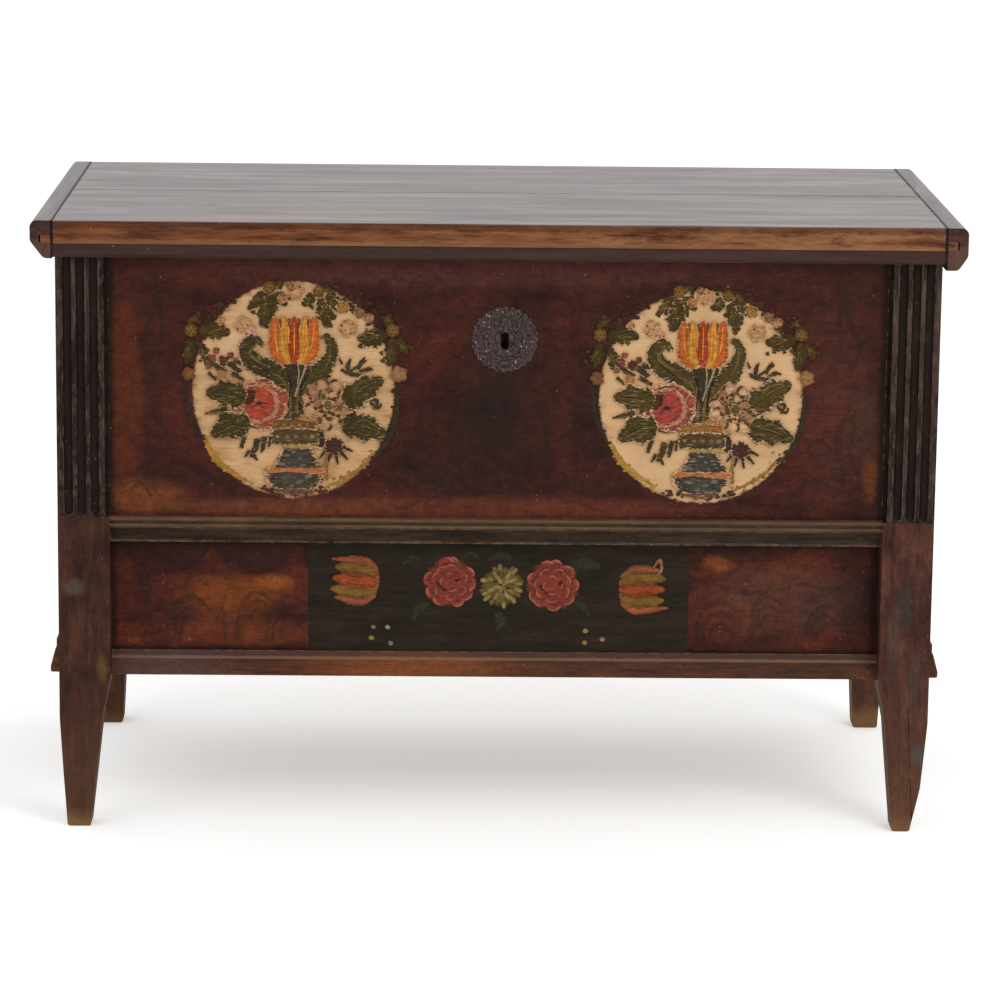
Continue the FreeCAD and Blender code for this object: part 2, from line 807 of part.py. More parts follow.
def make_till():
    """Open till across the left end: an upright board and a bottom, let in from front to back."""
    top = rim_height - s.till_drop
    bottom = top - s.till_height
    front_y = panel_back + s.joint_fit
    depth = back_inner - s.joint_fit - front_y
    start = s.joint_fit - side_inner
    plank = box("till_bottom_plank", (start, front_y, bottom),
                (s.till_width, depth, s.till_thickness))
    pieces["till_bottom_board"] = cut("till_bottom_notched", plank,
                                      post_notches("till_bottom", True, front_y))
    pieces["till_front_board"] = box("till_front_plank",
                                     (start + s.till_width, front_y, bottom),
                                     (s.till_thickness, depth, s.till_height))


def make_lid():
    """Two boards tongued into a batten at each end, and a strip under the front edge."""
    inner = s.lid_width / 2 - s.batten_width
    reach = s.lid_tongue_length
    rear_depth = s.lid_depth - s.lid_front_board_depth
    front_edge = -(s.lid_depth / 2)
    top_z = s.lid_thickness.value
    boards = [("lid_front_board", front_edge, s.lid_front_board_depth, 0.0),
              ("lid_rear_board", front_edge + s.lid_front_board_depth, rear_depth,
               rear_depth.value)]
    for name, start, depth, edge_y in boards:
        outline = tongued_outline(inner * 2, s.lid_thickness, s.lid_tongue_height,
                                  s.lid_tongue_rise, reach)
        board = prism(f"{name}_plank", "XZ_Plane", outline, depth, (0, 0, 0))
        round_edges(board, s.lid_edge_round,
                    lambda edge: (runs_along(edge, Vector(1, 0, 0))
                                  and near(edge.CenterOfMass.z, top_z)
                                  and near(edge.CenterOfMass.y, edge_y)))
        pieces[name] = seat(board, (-inner - reach, start, lid_underside))
    for side in ("left", "right"):
        pieces[f"lid_{side}_batten"] = batten(side, front_edge)
    strip_depth = s.lid_front_overhang - s.strip_setback - s.strip_clearance
    strip = [
        (s.strip_bevel, NOTHING),
        (strip_depth, NOTHING),
        (strip_depth, s.strip_height),
        (NOTHING, s.strip_height),
        (NOTHING, s.strip_bevel),
    ]
    pieces["lid_front_strip"] = prism("lid_front_strip_bar", "YZ_Plane", strip, inner * 2,
                                      (-inner, front_edge + s.strip_setback,
                                       lid_underside - s.strip_height))
    make_pegs(inner)


def batten(side, front_edge):
    """End batten: grooved for the boards' tongues, rounded above, slanted below."""
    straight = getattr(s, f"{side}_batten_side")
    slant = getattr(s, f"{side}_batten_slant")
    tall = getattr(s, f"{side}_batten_height")
    wide = s.batten_width
    groove_low = tall - s.lid_thickness + s.lid_tongue_rise - s.joint_fit
    groove_high = groove_low + s.lid_tongue_height + s.joint_fit * 2
    profile = [
        (NOTHING, NOTHING),
        (wide - slant, NOTHING),
        (wide, tall - straight),
        (wide, tall),
        (NOTHING, tall),
        (NOTHING, groove_high),
        (s.batten_groove_depth, groove_high),
        (s.batten_groove_depth, groove_low),
        (NOTHING, groove_low),
    ]
    inner = s.lid_width / 2 - wide
    if side == "left":
        profile = [(wide - out, up) for out, up in profile]
    start = -(s.lid_width / 2) if side == "left" else inner
    bar = prism(f"lid_{side}_batten_bar", "XZ_Plane", profile, s.lid_depth, (0, 0, 0))
    outer_x = 0.0 if side == "left" else wide.value
    slant_x = slant.value if side == "left" else wide.value - slant.value
    corners = [(outer_x, tall.value), (outer_x, tall.value - straight.value), (slant_x, 0.0)]

    def outer_corner(edge):
        """One of the three long corners on the batten's outer side."""
        middle = edge.CenterOfMass
        along = runs_along(edge, Vector(0, 1, 0))
        return along and any(near(middle.x, x) and near(middle.z, z) for x, z in corners)

    round_edges(bar, s.batten_round, outer_corner)
    return seat(bar, (start, front_edge, s.overall_height - tall))


def make_pegs(inner):
    """Wooden pegs driven up through each batten and the boards' tongues."""
    reach = s.lid_depth / 2 - s.peg_end_inset
    pegs = []
    for side, sign in (("left", -1), ("right", 1)):
        tall = getattr(s, f"{side}_batten_height")
        height = tall - s.peg_stop
        bottom = s.overall_height - tall
        for index, y in enumerate((-reach, s.peg_end_inset - reach, reach), start=1):
            place = ((inner + s.lid_tongue_length / 2) * sign, y, bottom)
            pegs.append(cylinder(f"{side}_peg_{index}", place, s.peg_radius, height))
            board = "lid_rear_board" if y.value > 0 else "lid_front_board"
            for host in (f"lid_{side}_batten", board):
                hole = cylinder(f"{side}_peg_hole_{index}", place,
                                s.peg_radius + s.pin_fit, height + s.joint_fit)
                holes.setdefault(host, []).append(hole)
    pieces["lid_batten_pegs"] = group("lid_batten_pegs_set", pegs)


def make_hinges():
    """A forged strap hinge at each side: strap, leaf behind the back board, and pin."""
    eye = s.hinge_pin_radius + s.pin_fit
    barrel = eye + s.strap_thickness
    axis_y = rear_face + barrel
    axis_z = lid_underside - barrel
    along = Vector(1, 0, 0)
    third = (s.strap_width - s.running_gap * 2) / 3
    tip_y = lid_joint_y - s.strap_reach
    strap_length = axis_y - tip_y
    strap_nails = []
    leaf_nails = []
    for side, sign in (("left", -1), ("right", 1)):
        centre = hinge_x * sign
        low = centre - s.strap_width / 2
        middle = low + third + s.running_gap
        high = middle + third + s.running_gap
        clear = barrel + s.running_gap
        root_y = axis_y - clear
        half = s.strap_width / 2
        tip = s.strap_tip_width / 2
        strap_outline = [
            (NOTHING, strap_length - clear),
            (half - tip, s.strap_point),
            (half, NOTHING),
            (half + tip, s.strap_point),
            (s.strap_width, strap_length - clear),
        ]
        plate = prism(f"{side}_strap_plate", "XY_Plane", strap_outline, s.strap_thickness,
                      (low, tip_y, lid_underside - s.strap_thickness))
        parts = [plate]
        for label, x in (("inner", low), ("outer", high)):
            tab = box(f"{side}_strap_{label}_tab",
                      (x, root_y - s.running_gap, lid_underside - s.strap_thickness),
                      (third, clear + s.running_gap, s.strap_thickness))
            knuckle = cylinder(f"{side}_strap_{label}_knuckle", (x, axis_y, axis_z),
                               barrel, third, along)
            parts += [tab, knuckle]
        bore = cylinder(f"{side}_strap_bore", (low - s.cut_overrun, axis_y, axis_z), eye,
                        s.strap_width + s.cut_overrun * 2, along)
        pieces[f"{side}_hinge_strap"] = cut(f"{side}_hinge_strap_bored",
                                            fuse(f"{side}_hinge_strap_solid", parts), bore)
        leaf_top = axis_z - clear
        leaf = fuse(f"{side}_hinge_leaf_solid", [
            box(f"{side}_leaf_plate", (low, rear_face, leaf_top - s.leaf_length),
                (s.strap_width, s.strap_thickness, s.leaf_length)),
            box(f"{side}_leaf_tab", (middle, rear_face, leaf_top - s.running_gap),
                (third, s.strap_thickness, clear + s.running_gap)),
            cylinder(f"{side}_leaf_knuckle", (middle, axis_y, axis_z), barrel, third, along),
        ])
        leaf_bore = cylinder(f"{side}_leaf_bore", (low - s.cut_overrun, axis_y, axis_z), eye,
                             s.strap_width + s.cut_overrun * 2, along)
        pieces[f"{side}_hinge_back_leaf"] = cut(f"{side}_hinge_leaf_bored", leaf, leaf_bore)
        pieces[f"{side}_hinge_pin"] = cylinder(
            f"{side}_hinge_pin_bar", (low - s.hinge_pin_overhang, axis_y, axis_z),
            s.hinge_pin_radius, s.strap_width + s.hinge_pin_overhang * 2, along)
        for step in range(4):
            y = root_y - s.strap_point - (strap_length - s.strap_point * 3) / 4 * step
            strap_nails.append((centre, y, lid_underside - s.strap_thickness))
        for step in range(3):
            z = leaf_top - s.strap_point / 2 - (s.leaf_length - s.strap_point) / 2 * step
            leaf_nails.append((centre, rear_face + s.strap_thickness, z))
    straps = ["left_hinge_strap", "right_hinge_strap"]
    leaves = ["left_hinge_back_leaf", "right_hinge_back_leaf"]
    iron_nails("lid_hinge_nails", strap_nails, Vector(0, 0, -1),
               straps + ["lid_front_board", "lid_rear_board"], s.short_nail_length)
    iron_nails("back_hinge_nails", leaf_nails, Vector(0, 1, 0),
               leaves + ["back_upper_board"], s.short_nail_length)


def make_lock():
    """Lock on the panel's inner face: plate, bolt in two guides, spring, cover and key pin."""
    key_x = s.keyhole_offset
    key_z = keyhole_z
    behind = panel_back + s.lock_plate_thickness
    plate = box("lock_plate_sheet",
                (key_x - s.lock_plate_width / 2, panel_back, key_z - s.lock_plate_below),
                (s.lock_plate_width, s.lock_plate_thickness,
                 s.lock_plate_above + s.lock_plate_below))
    opening = keyhole("lock_plate", panel_back - s.cut_overrun,
                      s.lock_plate_thickness + s.cut_overrun * 2)
    pieces["lock_plate"] = cut("lock_plate_pierced", plate, opening)

    bolt_y = panel_back + s.bolt_stand_off
    bolt_z = key_z + s.bolt_rise
    staple_x = key_x + s.staple_offset
    bolt_x = staple_x - s.staple_gap - s.bolt_length
    tail_x = key_x - (s.bolt_tail + s.bolt_travel) / 2
    tail_z = key_z + s.bolt_tail_clearance
    pieces["lock_bolt"] = fuse("lock_bolt_whole", [
        box("lock_bolt_bar", (bolt_x, bolt_y, bolt_z),
            (s.bolt_length, s.bolt_thickness, s.bolt_height)),
        box("lock_bolt_tail", (tail_x, bolt_y, tail_z),
            (s.bolt_tail, s.bolt_thickness, bolt_z - tail_z + s.running_gap)),
    ])

    gap = s.running_gap
    right_guide_x = key_x + (s.bolt_tail + s.bolt_travel) / 2 + s.guide_clearance
    left_guide_x = right_guide_x - s.guide_spacing - s.guide_width
    guides = []
    for label, x in (("left", left_guide_x), ("right", right_guide_x)):
        block = box(f"{label}_guide_block", (x, behind, bolt_z - gap - s.guide_wall),
                    (s.guide_width, bolt_y + s.bolt_thickness + gap + s.guide_wall - behind,
                     s.bolt_height + (gap + s.guide_wall) * 2))
        channel = box(f"{label}_guide_channel", (x - s.cut_overrun, bolt_y - gap, bolt_z - gap),
                      (s.guide_width + s.cut_overrun * 2, s.bolt_thickness + gap * 2,
                       s.bolt_height + gap * 2))
        guides.append(cut(f"{label}_guide", block, channel))
    pieces["lock_bolt_guides"] = group("lock_bolt_guides_pair", guides)

    spring_start = left_guide_x + s.guide_width + gap
    spring_length = s.guide_spacing - gap * 2
    thin = s.spring_thickness
    lift = s.spring_lift
    spring = [
        (NOTHING, lift),
        (spring_length / 3, thin * 2),
        (spring_length * 2 / 3, NOTHING),
        (spring_length, thin),
        (spring_length, thin * 2),
        (spring_length * 2 / 3, thin),
        (spring_length / 3, thin * 3),
        (NOTHING, lift + thin),
    ]
    leaf = prism("lock_spring_leaf", "XZ_Plane", spring, s.spring_width,
                 (spring_start, bolt_y, bolt_z + s.bolt_height + gap))
    foot = box("lock_spring_foot",
               (spring_start, behind, bolt_z + s.bolt_height + gap + lift),
               (s.spring_width, bolt_y + s.spring_width - behind, thin))
    pieces["lock_spring"] = fuse("lock_spring_whole", [leaf, foot])

    wall = s.cover_sheet
    cover_z = key_z - s.cover_below
    outer = box("lock_cover_outer", (key_x - s.cover_half_width, behind, cover_z),
                (s.cover_half_width * 2, s.cover_depth, s.cover_height))
    inner = box("lock_cover_inner",
                (key_x - s.cover_half_width + wall, behind - s.cut_overrun,
                 cover_z - s.cut_overrun),
                (s.cover_half_width * 2 - wall * 2, s.cover_depth - wall + s.cut_overrun,
                 s.cover_height + s.cut_overrun * 2))
    pieces["lock_cover"] = cut("lock_cover_bent", outer, inner)
    pieces["key_pin"] = cylinder("key_pin_bar",
                                 (key_x, behind + s.cover_depth - wall, key_z),
                                 s.key_pin_radius, s.key_pin_length, Vector(0, -1, 0))
    make_staple(staple_x, bolt_y, bolt_z)
    spots = []
    inset = s.nail_head_radius * 3
    for sign in (-1, 1):
        x = key_x + (s.lock_plate_width / 2 - inset) * sign
        spots.append((x, behind, key_z - s.lock_plate_below + inset))
        spots.append((x, behind, key_z + s.lock_plate_above - inset))
    iron_nails("lock_nails", spots, Vector(0, 1, 0), ["lock_plate", "front_panel"],
               s.panel_thickness - s.joint_fit)


def make_staple(staple_x, bolt_y, bolt_z):
    """Staple under the lid whose eye the bolt enters."""
    play = s.staple_play
    eye_y = bolt_y - play
    eye_z = bolt_z - play
    eye_depth = s.bolt_thickness + play * 2
    eye_height = s.bolt_height + play * 2
    shank_bottom = eye_z - s.staple_wall
    shank = box("lid_staple_shank", (staple_x, eye_y - s.staple_wall, shank_bottom),
                (s.staple_thickness, eye_depth + s.staple_wall * 2,
                 lid_underside - shank_bottom))
    centre_x = staple_x + s.staple_thickness / 2
    centre_y = eye_y + eye_depth / 2
    plate = box("lid_staple_plate",
                (centre_x - s.staple_plate_length / 2, centre_y - s.staple_plate_width / 2,
                 lid_underside - s.staple_plate_thickness),
                (s.staple_plate_length, s.staple_plate_width, s.staple_plate_thickness))
    eye = box("lid_staple_eye", (staple_x - s.cut_overrun, eye_y, eye_z),
              (s.staple_thickness + s.cut_overrun * 2, eye_depth, eye_height))
    pieces["lid_staple"] = cut("lid_staple_pierced",
                               fuse("lid_staple_solid", [shank, plate]), eye)
    spots = []
    for sign in (-1, 1):
        x = centre_x + (s.staple_plate_length / 2 - s.nail_head_radius * 2) * sign
        spots.append((x, centre_y, lid_underside - s.staple_plate_thickness))
    iron_nails("lid_staple_nails", spots, Vector(0, 0, -1), ["lid_staple", "lid_front_board"],
               s.short_nail_length)


def make_rosette():
    """Iron rosette round the keyhole: scalloped sheet, raised ring and boss, small pins."""
    along = Vector(0, -1, 0)
    middle_z = keyhole_z - s.rosette_drop
    centre = (s.keyhole_offset, panel_front, middle_z)
    sheet = cylinder("rosette_sheet", centre, s.rosette_radius, s.rosette_thickness, along)
    parts = [sheet]
    for index in range(ROSETTE_LOBE_COUNT):
        out = Rotation(Vector(0, 1, 0), 360.0 / ROSETTE_LOBE_COUNT * index)
        arm = out.multVec(Vector(1, 0, 0))
        place = (s.keyhole_offset + s.rosette_radius * arm.x, panel_front,
                 middle_z + s.rosette_radius * arm.z)
        parts.append(cylinder(f"rosette_lobe_{index + 1}", place, s.rosette_lobe_radius,
                              s.rosette_thickness, along))
    boss = doc.addObject("Part::Cone", "rosette_boss")
    boss.setExpression("Radius1", s.rosette_boss_radius.text)
    boss.setExpression("Radius2", (s.rosette_boss_radius - s.rosette_boss_height).text)
    boss.setExpression("Height", (s.rosette_thickness + s.rosette_boss_height).text)
    point_along(boss, along)
    parts.append(seat(boss, centre))
    ring = doc.addObject("Part::Torus", "rosette_ring")
    ring.setExpression("Radius1", s.rosette_ring_radius.text)
    ring.setExpression("Radius2", s.rosette_ring_wire.text)
    point_along(ring, along)
    parts.append(seat(ring, (s.keyhole_offset, panel_front - s.rosette_thickness, middle_z)))
    opening = keyhole_oval("rosette", panel_front - s.cut_overrun * 2, s.cut_overrun * 3)
    solid = fuse("rosette_solid", parts)
    pieces["keyhole_rosette"] = cut("rosette_pierced", solid, opening)
    reach = s.rosette_radius - s.rosette_pin_head_radius
    spots = []
    for index in range(ROSETTE_PIN_COUNT):
        out = Rotation(Vector(0, 1, 0), 360.0 / ROSETTE_PIN_COUNT * (index + 0.5))
        arm = out.multVec(Vector(1, 0, 0))
        spots.append((s.keyhole_offset + reach * arm.x, panel_front - s.rosette_thickness,
                      middle_z + reach * arm.z))
    nails("rosette_pins", spots, along, ["keyhole_rosette", "front_panel"],
          s.rosette_pin_radius, s.rosette_pin_length, s.rosette_pin_head_radius,
          s.rosette_pin_head_height)


def make_fixings():
    """Nails of the mouldings, the lid strip, the bearers and the floor."""
    inner = s.lid_width / 2 - s.batten_width
    strip_y = -(s.lid_depth / 2) + s.lid_front_overhang / 2
    strip_spots = []
    for share in STRIP_NAIL_SHARES:
        strip_spots.append((inner * share, strip_y, lid_underside - s.strip_height))
    iron_nails("lid_strip_nails", strip_spots, Vector(0, 0, -1),
               ["lid_front_strip", "lid_front_board"], s.nail_length)

    middle_z = s.side_moulding_bottom + s.side_moulding_height * FILLET_MIDDLE_SHARE
    face = carcass_half + s.side_moulding_projection * FILLET_SHARE
    for side, sign in (("left", -1), ("right", 1)):
        spots = []
        for y in (front_face + s.post_depth / 2, rear_face - s.post_depth / 2):
            spots.append((face * sign, y, middle_z))
        iron_nails(f"{side}_moulding_nails", spots, Vector(sign, 0, 0),
                   [f"{side}_side_base_moulding", f"front_{side}_post", f"rear_{side}_post"],
                   s.nail_length)

    floor_top = base_rail_top + s.floor_thickness
    half = side_inner - s.joint_fit
    each = half * 2 / FLOOR_BOARD_COUNT
    boards = [f"floor_board_{index + 1}" for index in range(FLOOR_BOARD_COUNT)]
    floor_spots = []
    for index in range(FLOOR_BOARD_COUNT):
        x = each * (index + 0.5) - half
        for y in (frieze_back + s.bearer_width / 2, back_inner - s.bearer_width / 2):
            floor_spots.append((x, y, floor_top))
    iron_nails("floor_nails", floor_spots, Vector(0, 0, 1),
               boards + ["front_floor_bearer", "rear_floor_bearer"], s.nail_length)

    bearer_z = base_rail_top - s.bearer_width / 2
    for end, sign in (("front", 1), ("rear", -1)):
        y = frieze_back + s.bearer_width if end == "front" else back_inner - s.bearer_width
        host = "front_bottom_rail" if end == "front" else "back_lower_board"
        spots = [(post_inner * share, y, bearer_z) for share in BEARER_NAIL_SHARES]
        iron_nails(f"{end}_bearer_nails", spots, Vector(0, sign, 0),
                   [f"{end}_floor_bearer", host],
                   s.bearer_width + s.back_thickness / 2)


def finish(name, base):
    """Drill a piece's holes and give it its node name."""
    if name in holes:
        base = cut(f"{name}_drilled", base, group(f"{name}_holes", holes[name]))
    base.Label = name
    return base


def check(node, item):
    """Stop if a piece failed or has an empty or broken shape."""
    if "Invalid" in item.State or "Error" in item.State:
        raise RuntimeError(f"{node} failed: {item.State}")
    if item.Shape.isNull() or not item.Shape.isValid():
        raise RuntimeError(f"{node} has a broken shape")


def main():
    for end in ("front", "rear"):
        for side in ("left", "right"):
            post(side, end)
    make_front()
    make_sides()
    make_back()
    make_floor()
    make_till()
    make_lid()
    make_hinges()
    make_lock()
    make_rosette()
    make_fixings()
    nodes = {name: finish(name, base) for name, base in pieces.items()}
    doc.recompute()
    for item in doc.Objects:
        if "Invalid" in item.State or "Error" in item.State:
            raise RuntimeError(f"{item.Label} failed: {item.State}")
    for name, item in nodes.items():
        check(name, item)
    os.makedirs("parts", exist_ok=True)
    for name, item in nodes.items():
        item.Shape.exportStep(f"parts/{name}.step")
        print(name, len(item.Shape.Solids), round(item.Shape.Volume))


main()
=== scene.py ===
"""Looks of a painted wedding chest on four legs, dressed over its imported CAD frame.

The chest is softwood. Its front is painted red-brown, with two flower medallions on the
panel and a row of flowers on the frieze; the posts are nearly black. The lid, the inside
and the back are bare wood, and the lock and hinges are forged iron. Lengths in the
dataclasses are millimetres and become metres where a mesh or a pattern is made.
"""
import logging
import math
import random
from dataclasses import dataclass, field, replace
from enum import Enum
from functools import partial
from typing import Sequence

import bmesh
import bpy
from mathutils import Matrix, Vector

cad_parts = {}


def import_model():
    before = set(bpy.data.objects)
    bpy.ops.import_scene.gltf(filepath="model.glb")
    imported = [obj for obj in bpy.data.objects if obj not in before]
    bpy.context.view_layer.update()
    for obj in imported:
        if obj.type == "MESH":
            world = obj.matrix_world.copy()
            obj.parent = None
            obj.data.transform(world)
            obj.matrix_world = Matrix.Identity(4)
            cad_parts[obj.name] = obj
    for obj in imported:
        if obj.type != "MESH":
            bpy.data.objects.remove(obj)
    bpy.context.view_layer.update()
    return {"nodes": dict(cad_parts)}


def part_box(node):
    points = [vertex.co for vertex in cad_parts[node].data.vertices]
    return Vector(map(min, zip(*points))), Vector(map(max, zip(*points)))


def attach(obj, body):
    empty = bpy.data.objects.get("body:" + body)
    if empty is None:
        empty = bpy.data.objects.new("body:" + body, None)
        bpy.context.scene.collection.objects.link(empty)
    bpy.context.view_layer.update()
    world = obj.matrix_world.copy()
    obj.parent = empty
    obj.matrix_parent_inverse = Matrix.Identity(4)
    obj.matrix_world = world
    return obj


log = logging.getLogger("wedding_chest")

Point = tuple[float, float]
Place = tuple[float, float, float]
Socket = bpy.types.NodeSocket
Material = bpy.types.Material
Layer = tuple
Seams = tuple[tuple[Place, float, float], ...]

MM = 0.001
LEFT, RIGHT = (-1, 0, 0), (1, 0, 0)
FRONT, BACK = (0, -1, 0), (0, 1, 0)
DOWN, UP = (0, 0, -1), (0, 0, 1)

# Where the painted faces of the front lie, from the middle of the chest, in millimetres.
PANEL_FACE, FRIEZE_FACE, POST_FACE = -269.0, -248.0, -283.0

# Most values of a noise lie between these two; a Map Range node takes them as 1 and 2.
MOST = (0.3, 0.7)
FROM_NOISE = dict(enumerate(MOST, 1))


def linear(colour: str) -> tuple[float, float, float, float]:
    """Turn an sRGB hex colour into the linear one that shaders read.

    Args:
        colour: six hex digits after a hash sign.

    Returns:
        Red, green, blue and an alpha of one.
    """
    parts = [int(colour[i:i + 2], 16) / 255 for i in (1, 3, 5)]
    curved = [c / 12.92 if c <= 0.04045 else ((c + 0.055) / 1.055) ** 2.4 for c in parts]
    return (*curved, 1.0)


def add_node(tree: bpy.types.NodeTree, kind: str, links: dict | None = None,
             out: int | str = 0, stops: Sequence[tuple[float, str]] = (),
             **settings: object) -> Socket | None:
    """Add one node to a tree.

    Args:
        tree: the material's or modifier's tree.
        kind: the node's type name; a shader node's without its "ShaderNode".
        links: what each input gets, by its name or index: a socket or a plain value.
        out: the output to hand back.
        stops: positions and colours, where the node is a colour ramp.
        **settings: properties of the node.

    Returns:
        The chosen output, where the node has one.
    """
    node = tree.nodes.new(kind if "Node" in kind else f"ShaderNode{kind}")
    for name, value in settings.items():
        setattr(node, name, value)
    for key, value in (links or {}).items():
        if isinstance(value, Socket):
            tree.links.new(value, node.inputs[key])
        else:
            node.inputs[key].default_value = value
    for index, (position, colour) in enumerate(stops):
        ramp = node.color_ramp.elements
        stop = ramp[index] if index < 2 else ramp.new(position)
        stop.position = position
        stop.color = linear(colour)
    return node.outputs[out] if node.outputs else None


def put(name: str, data: bpy.types.ID) -> bpy.types.Object:
    """Make an object of a mesh, camera or light, and put it in the scene."""
    made = bpy.data.objects.new(name, data)
    bpy.context.scene.collection.objects.link(made)
    return made


class Grain(Enum):
    """The direction in which a board's fibres run."""

    ACROSS = (1, 0, 0)
    BACK = (0, 1, 0)
    UP = (0, 0, 1)


class Coat:
    """A material while its nodes are put together.

    Nodes whose inputs have no useful names get them by index. A Map Range takes a value as
    0, the range that it reads as 1 and 2, and the range that it gives as 3 and 4.
    """

    def __init__(self, name: str) -> None:
        """Start an empty material.

        Args:
            name: the real finish that it stands for.
        """
        self.material = bpy.data.materials.new(name)
        self.material.use_nodes = True
        self.material.node_tree.nodes.clear()
        self.add = partial(add_node, self.material.node_tree)
        self.place = self.add("TexCoord", out="Object")

    def fibres(self, grain: Grain, length: float, width: float, seed: float = 0.0,
               detail: float = 4.0, waver: float = 0.0, coarse: float = 0.6,
               span: Sequence[float] = ()) -> Socket:
        """Streaks along the grain, or soft blotches where they are as wide as long.

        Args:
            grain: direction of the fibres.
            length: how long a streak is, in millimetres.
            width: how wide a streak is, in millimetres.
            seed: a shift that gives other streaks.
            detail: levels of finer streaks.
            waver: how far the streaks are bent.
            coarse: strength of the finer streaks.
            span: value that becomes 0 and value that becomes 1, or what they become too.

        Returns:
            A value round one half, or the stretched one.
        """
        along = Vector(grain.value)
        stretch = [1 / (MM * (length if a else width)) for a in along]
        moved = self.add("Mapping", {0: self.place, "Location": (seed, seed * 1.7, seed * 0.6),
                                     "Scale": stretch})
        noise = self.add("TexNoise", {"Vector": moved, "Scale": 1.0, "Detail": detail,
                                      "Roughness": coarse, "Distortion": waver})
        if not span:
            return noise
        return self.add("MapRange", {0: noise, **{i + 1: v for i, v in enumerate(span)}},
                        interpolation_type="SMOOTHSTEP")

    def coats(self, ground: Socket | str, *layers: Layer) -> Socket:
        """Lay coats of colour one over another.

        Args:
            ground: the lowest colour.
            *layers: each a colour and the masks that it shows through, from 0 to 1. A
                layer whose colour is a plain value darkens or lightens what is below.

        Returns:
            The colour that shows.
        """
        shown = linear(ground) if isinstance(ground, str) else ground
        for colour, *masks in layers:
            where = masks[0]
            for mask in masks[1:]:
                where = self.add("Math", {0: where, 1: mask}, operation="MULTIPLY")
            tint = linear(colour) if isinstance(colour, str) else colour
            shaded = isinstance(tint, Socket) and tint.type == "VALUE"
            shown = self.add("Mix", {0: where, 6: shown, 7: tint}, out=2, data_type="RGBA",
                             blend_type="MULTIPLY" if shaded else "MIX")
        return shown

    def specks(self, spacing: float, size: float, share: float, seed: float = 0.0) -> Socket:
        """Small chips or splashes of paint, no two alike.

        Args:
            spacing: mean distance between them in millimetres.
            size: radius of the largest in millimetres.
            share: how many of the places hold one.
            seed: a shift that gives other places.

        Returns:
            A mask that is 1 in a speck.
        """
        ragged = self.add("TexNoise", {"Vector": self.place, "Scale": 0.5 / (size * MM)},
                          out="Color")
        moved = self.add("VectorMath", {0: ragged, 1: (size * MM,) * 3, 2: self.place},
                         operation="MULTIPLY_ADD")
        moved = self.add("VectorMath", {0: moved, 1: (seed,) * 3}, operation="ADD")
        cells = self.add("TexVoronoi", {"Vector": moved, "Scale": 1 / (spacing * MM)})
        chance = self.add("SeparateColor", {0: cells.node.outputs["Color"]})
        reach = self.add("MapRange", {0: chance, 1: 1 - share, 2: 1.0, 3: 0.0,
                                      4: size / spacing})
        return self.add("Math", {0: reach, 1: cells}, operation="GREATER_THAN")

    def beyond(self, way: Place, place: float, ragged: float = 0.0,
               soft: float = 0.2) -> Socket:
        """What lies on one side of a plane.

        Args:
            way: direction towards that side.
            place: distance of the plane along it, in millimetres.
            ragged: how far its edge wavers, in millimetres.
            soft: how wide its edge is, in millimetres.

        Returns:
            A mask that is 1 on that side.
        """
        along = self.add("VectorMath", {0: self.place, 1: way}, out="Value",
                         operation="DOT_PRODUCT")
        if ragged:
            waver = self.fibres(Grain.ACROSS, ragged * 6, ragged * 6, seed=6.0, detail=5.0)
            along = self.add("Math", {0: waver, 1: ragged * MM * 4, 2: along},
                             operation="MULTIPLY_ADD")
            place += ragged * 2
        return self.add("MapRange", {0: along, 1: (place - soft) * MM, 2: (place + soft) * MM},
                        interpolation_type="SMOOTHSTEP")

    def seam(self, way: Place, place: float, width: float, ragged: float = 0.5) -> Socket:
        """A thin dark line: a joint between boards, or a crack.

        Args:
            way: direction across the line.
            place: its distance along that direction, in millimetres.
            width: its width in millimetres.
            ragged: how uneven its width is, from 0 to 1.

        Returns:
            A mask that is 1 in the line.
        """
        along = self.add("VectorMath", {0: self.place, 1: way}, out="Value",
                         operation="DOT_PRODUCT")
        off = self.add("Math", {0: along, 1: place * MM}, operation="SUBTRACT")
        off = self.add("Math", {0: off}, operation="ABSOLUTE")
        half = self.fibres(Grain.ACROSS, 14, 14, seed=2.2, span=(
            *MOST, width * MM * (1 - ragged) / 2, width * MM / 2))
        return self.add("Math", {0: off, 1: half}, operation="LESS_THAN")

    def patch(self, centre: Place, radii: Place, seed: float = 0.0, ragged: float = 0.5,
              span: Point = (1.0, 0.6), grit: float = 0.9) -> Socket:
        """A ragged round area, such as a worn place or a painted field.

        Args:
            centre: its middle in millimetres.
            radii: its half sizes in millimetres.
            seed: a shift that gives another outline.
            ragged: how far its outline wavers, as a share of its size.
            span: shares of its size at which it starts and at which it is full.
            grit: length of the waves of its outline, as a share of its size.

        Returns:
            A mask that is 1 in its middle.
        """
        scale = [1 / (MM * r) for r in radii]
        shift = [-c * MM * k for c, k in zip(centre, scale)]
        inner = self.add("Mapping", {0: self.place, "Location": shift, "Scale": scale})
        away = self.add("VectorMath", {0: inner}, out="Value", operation="LENGTH")
        wave = min(radii) * grit
        waver = self.fibres(Grain.ACROSS, wave, wave / 2, seed=seed, detail=6.0)
        away = self.add("Math", {0: waver, 1: ragged, 2: away}, operation="MULTIPLY_ADD")
        away = self.add("Math", {0: away, 1: ragged / 2}, operation="SUBTRACT")
        return self.add("MapRange", {0: away, 1: span[0], 2: span[1]},
                        interpolation_type="SMOOTHSTEP")

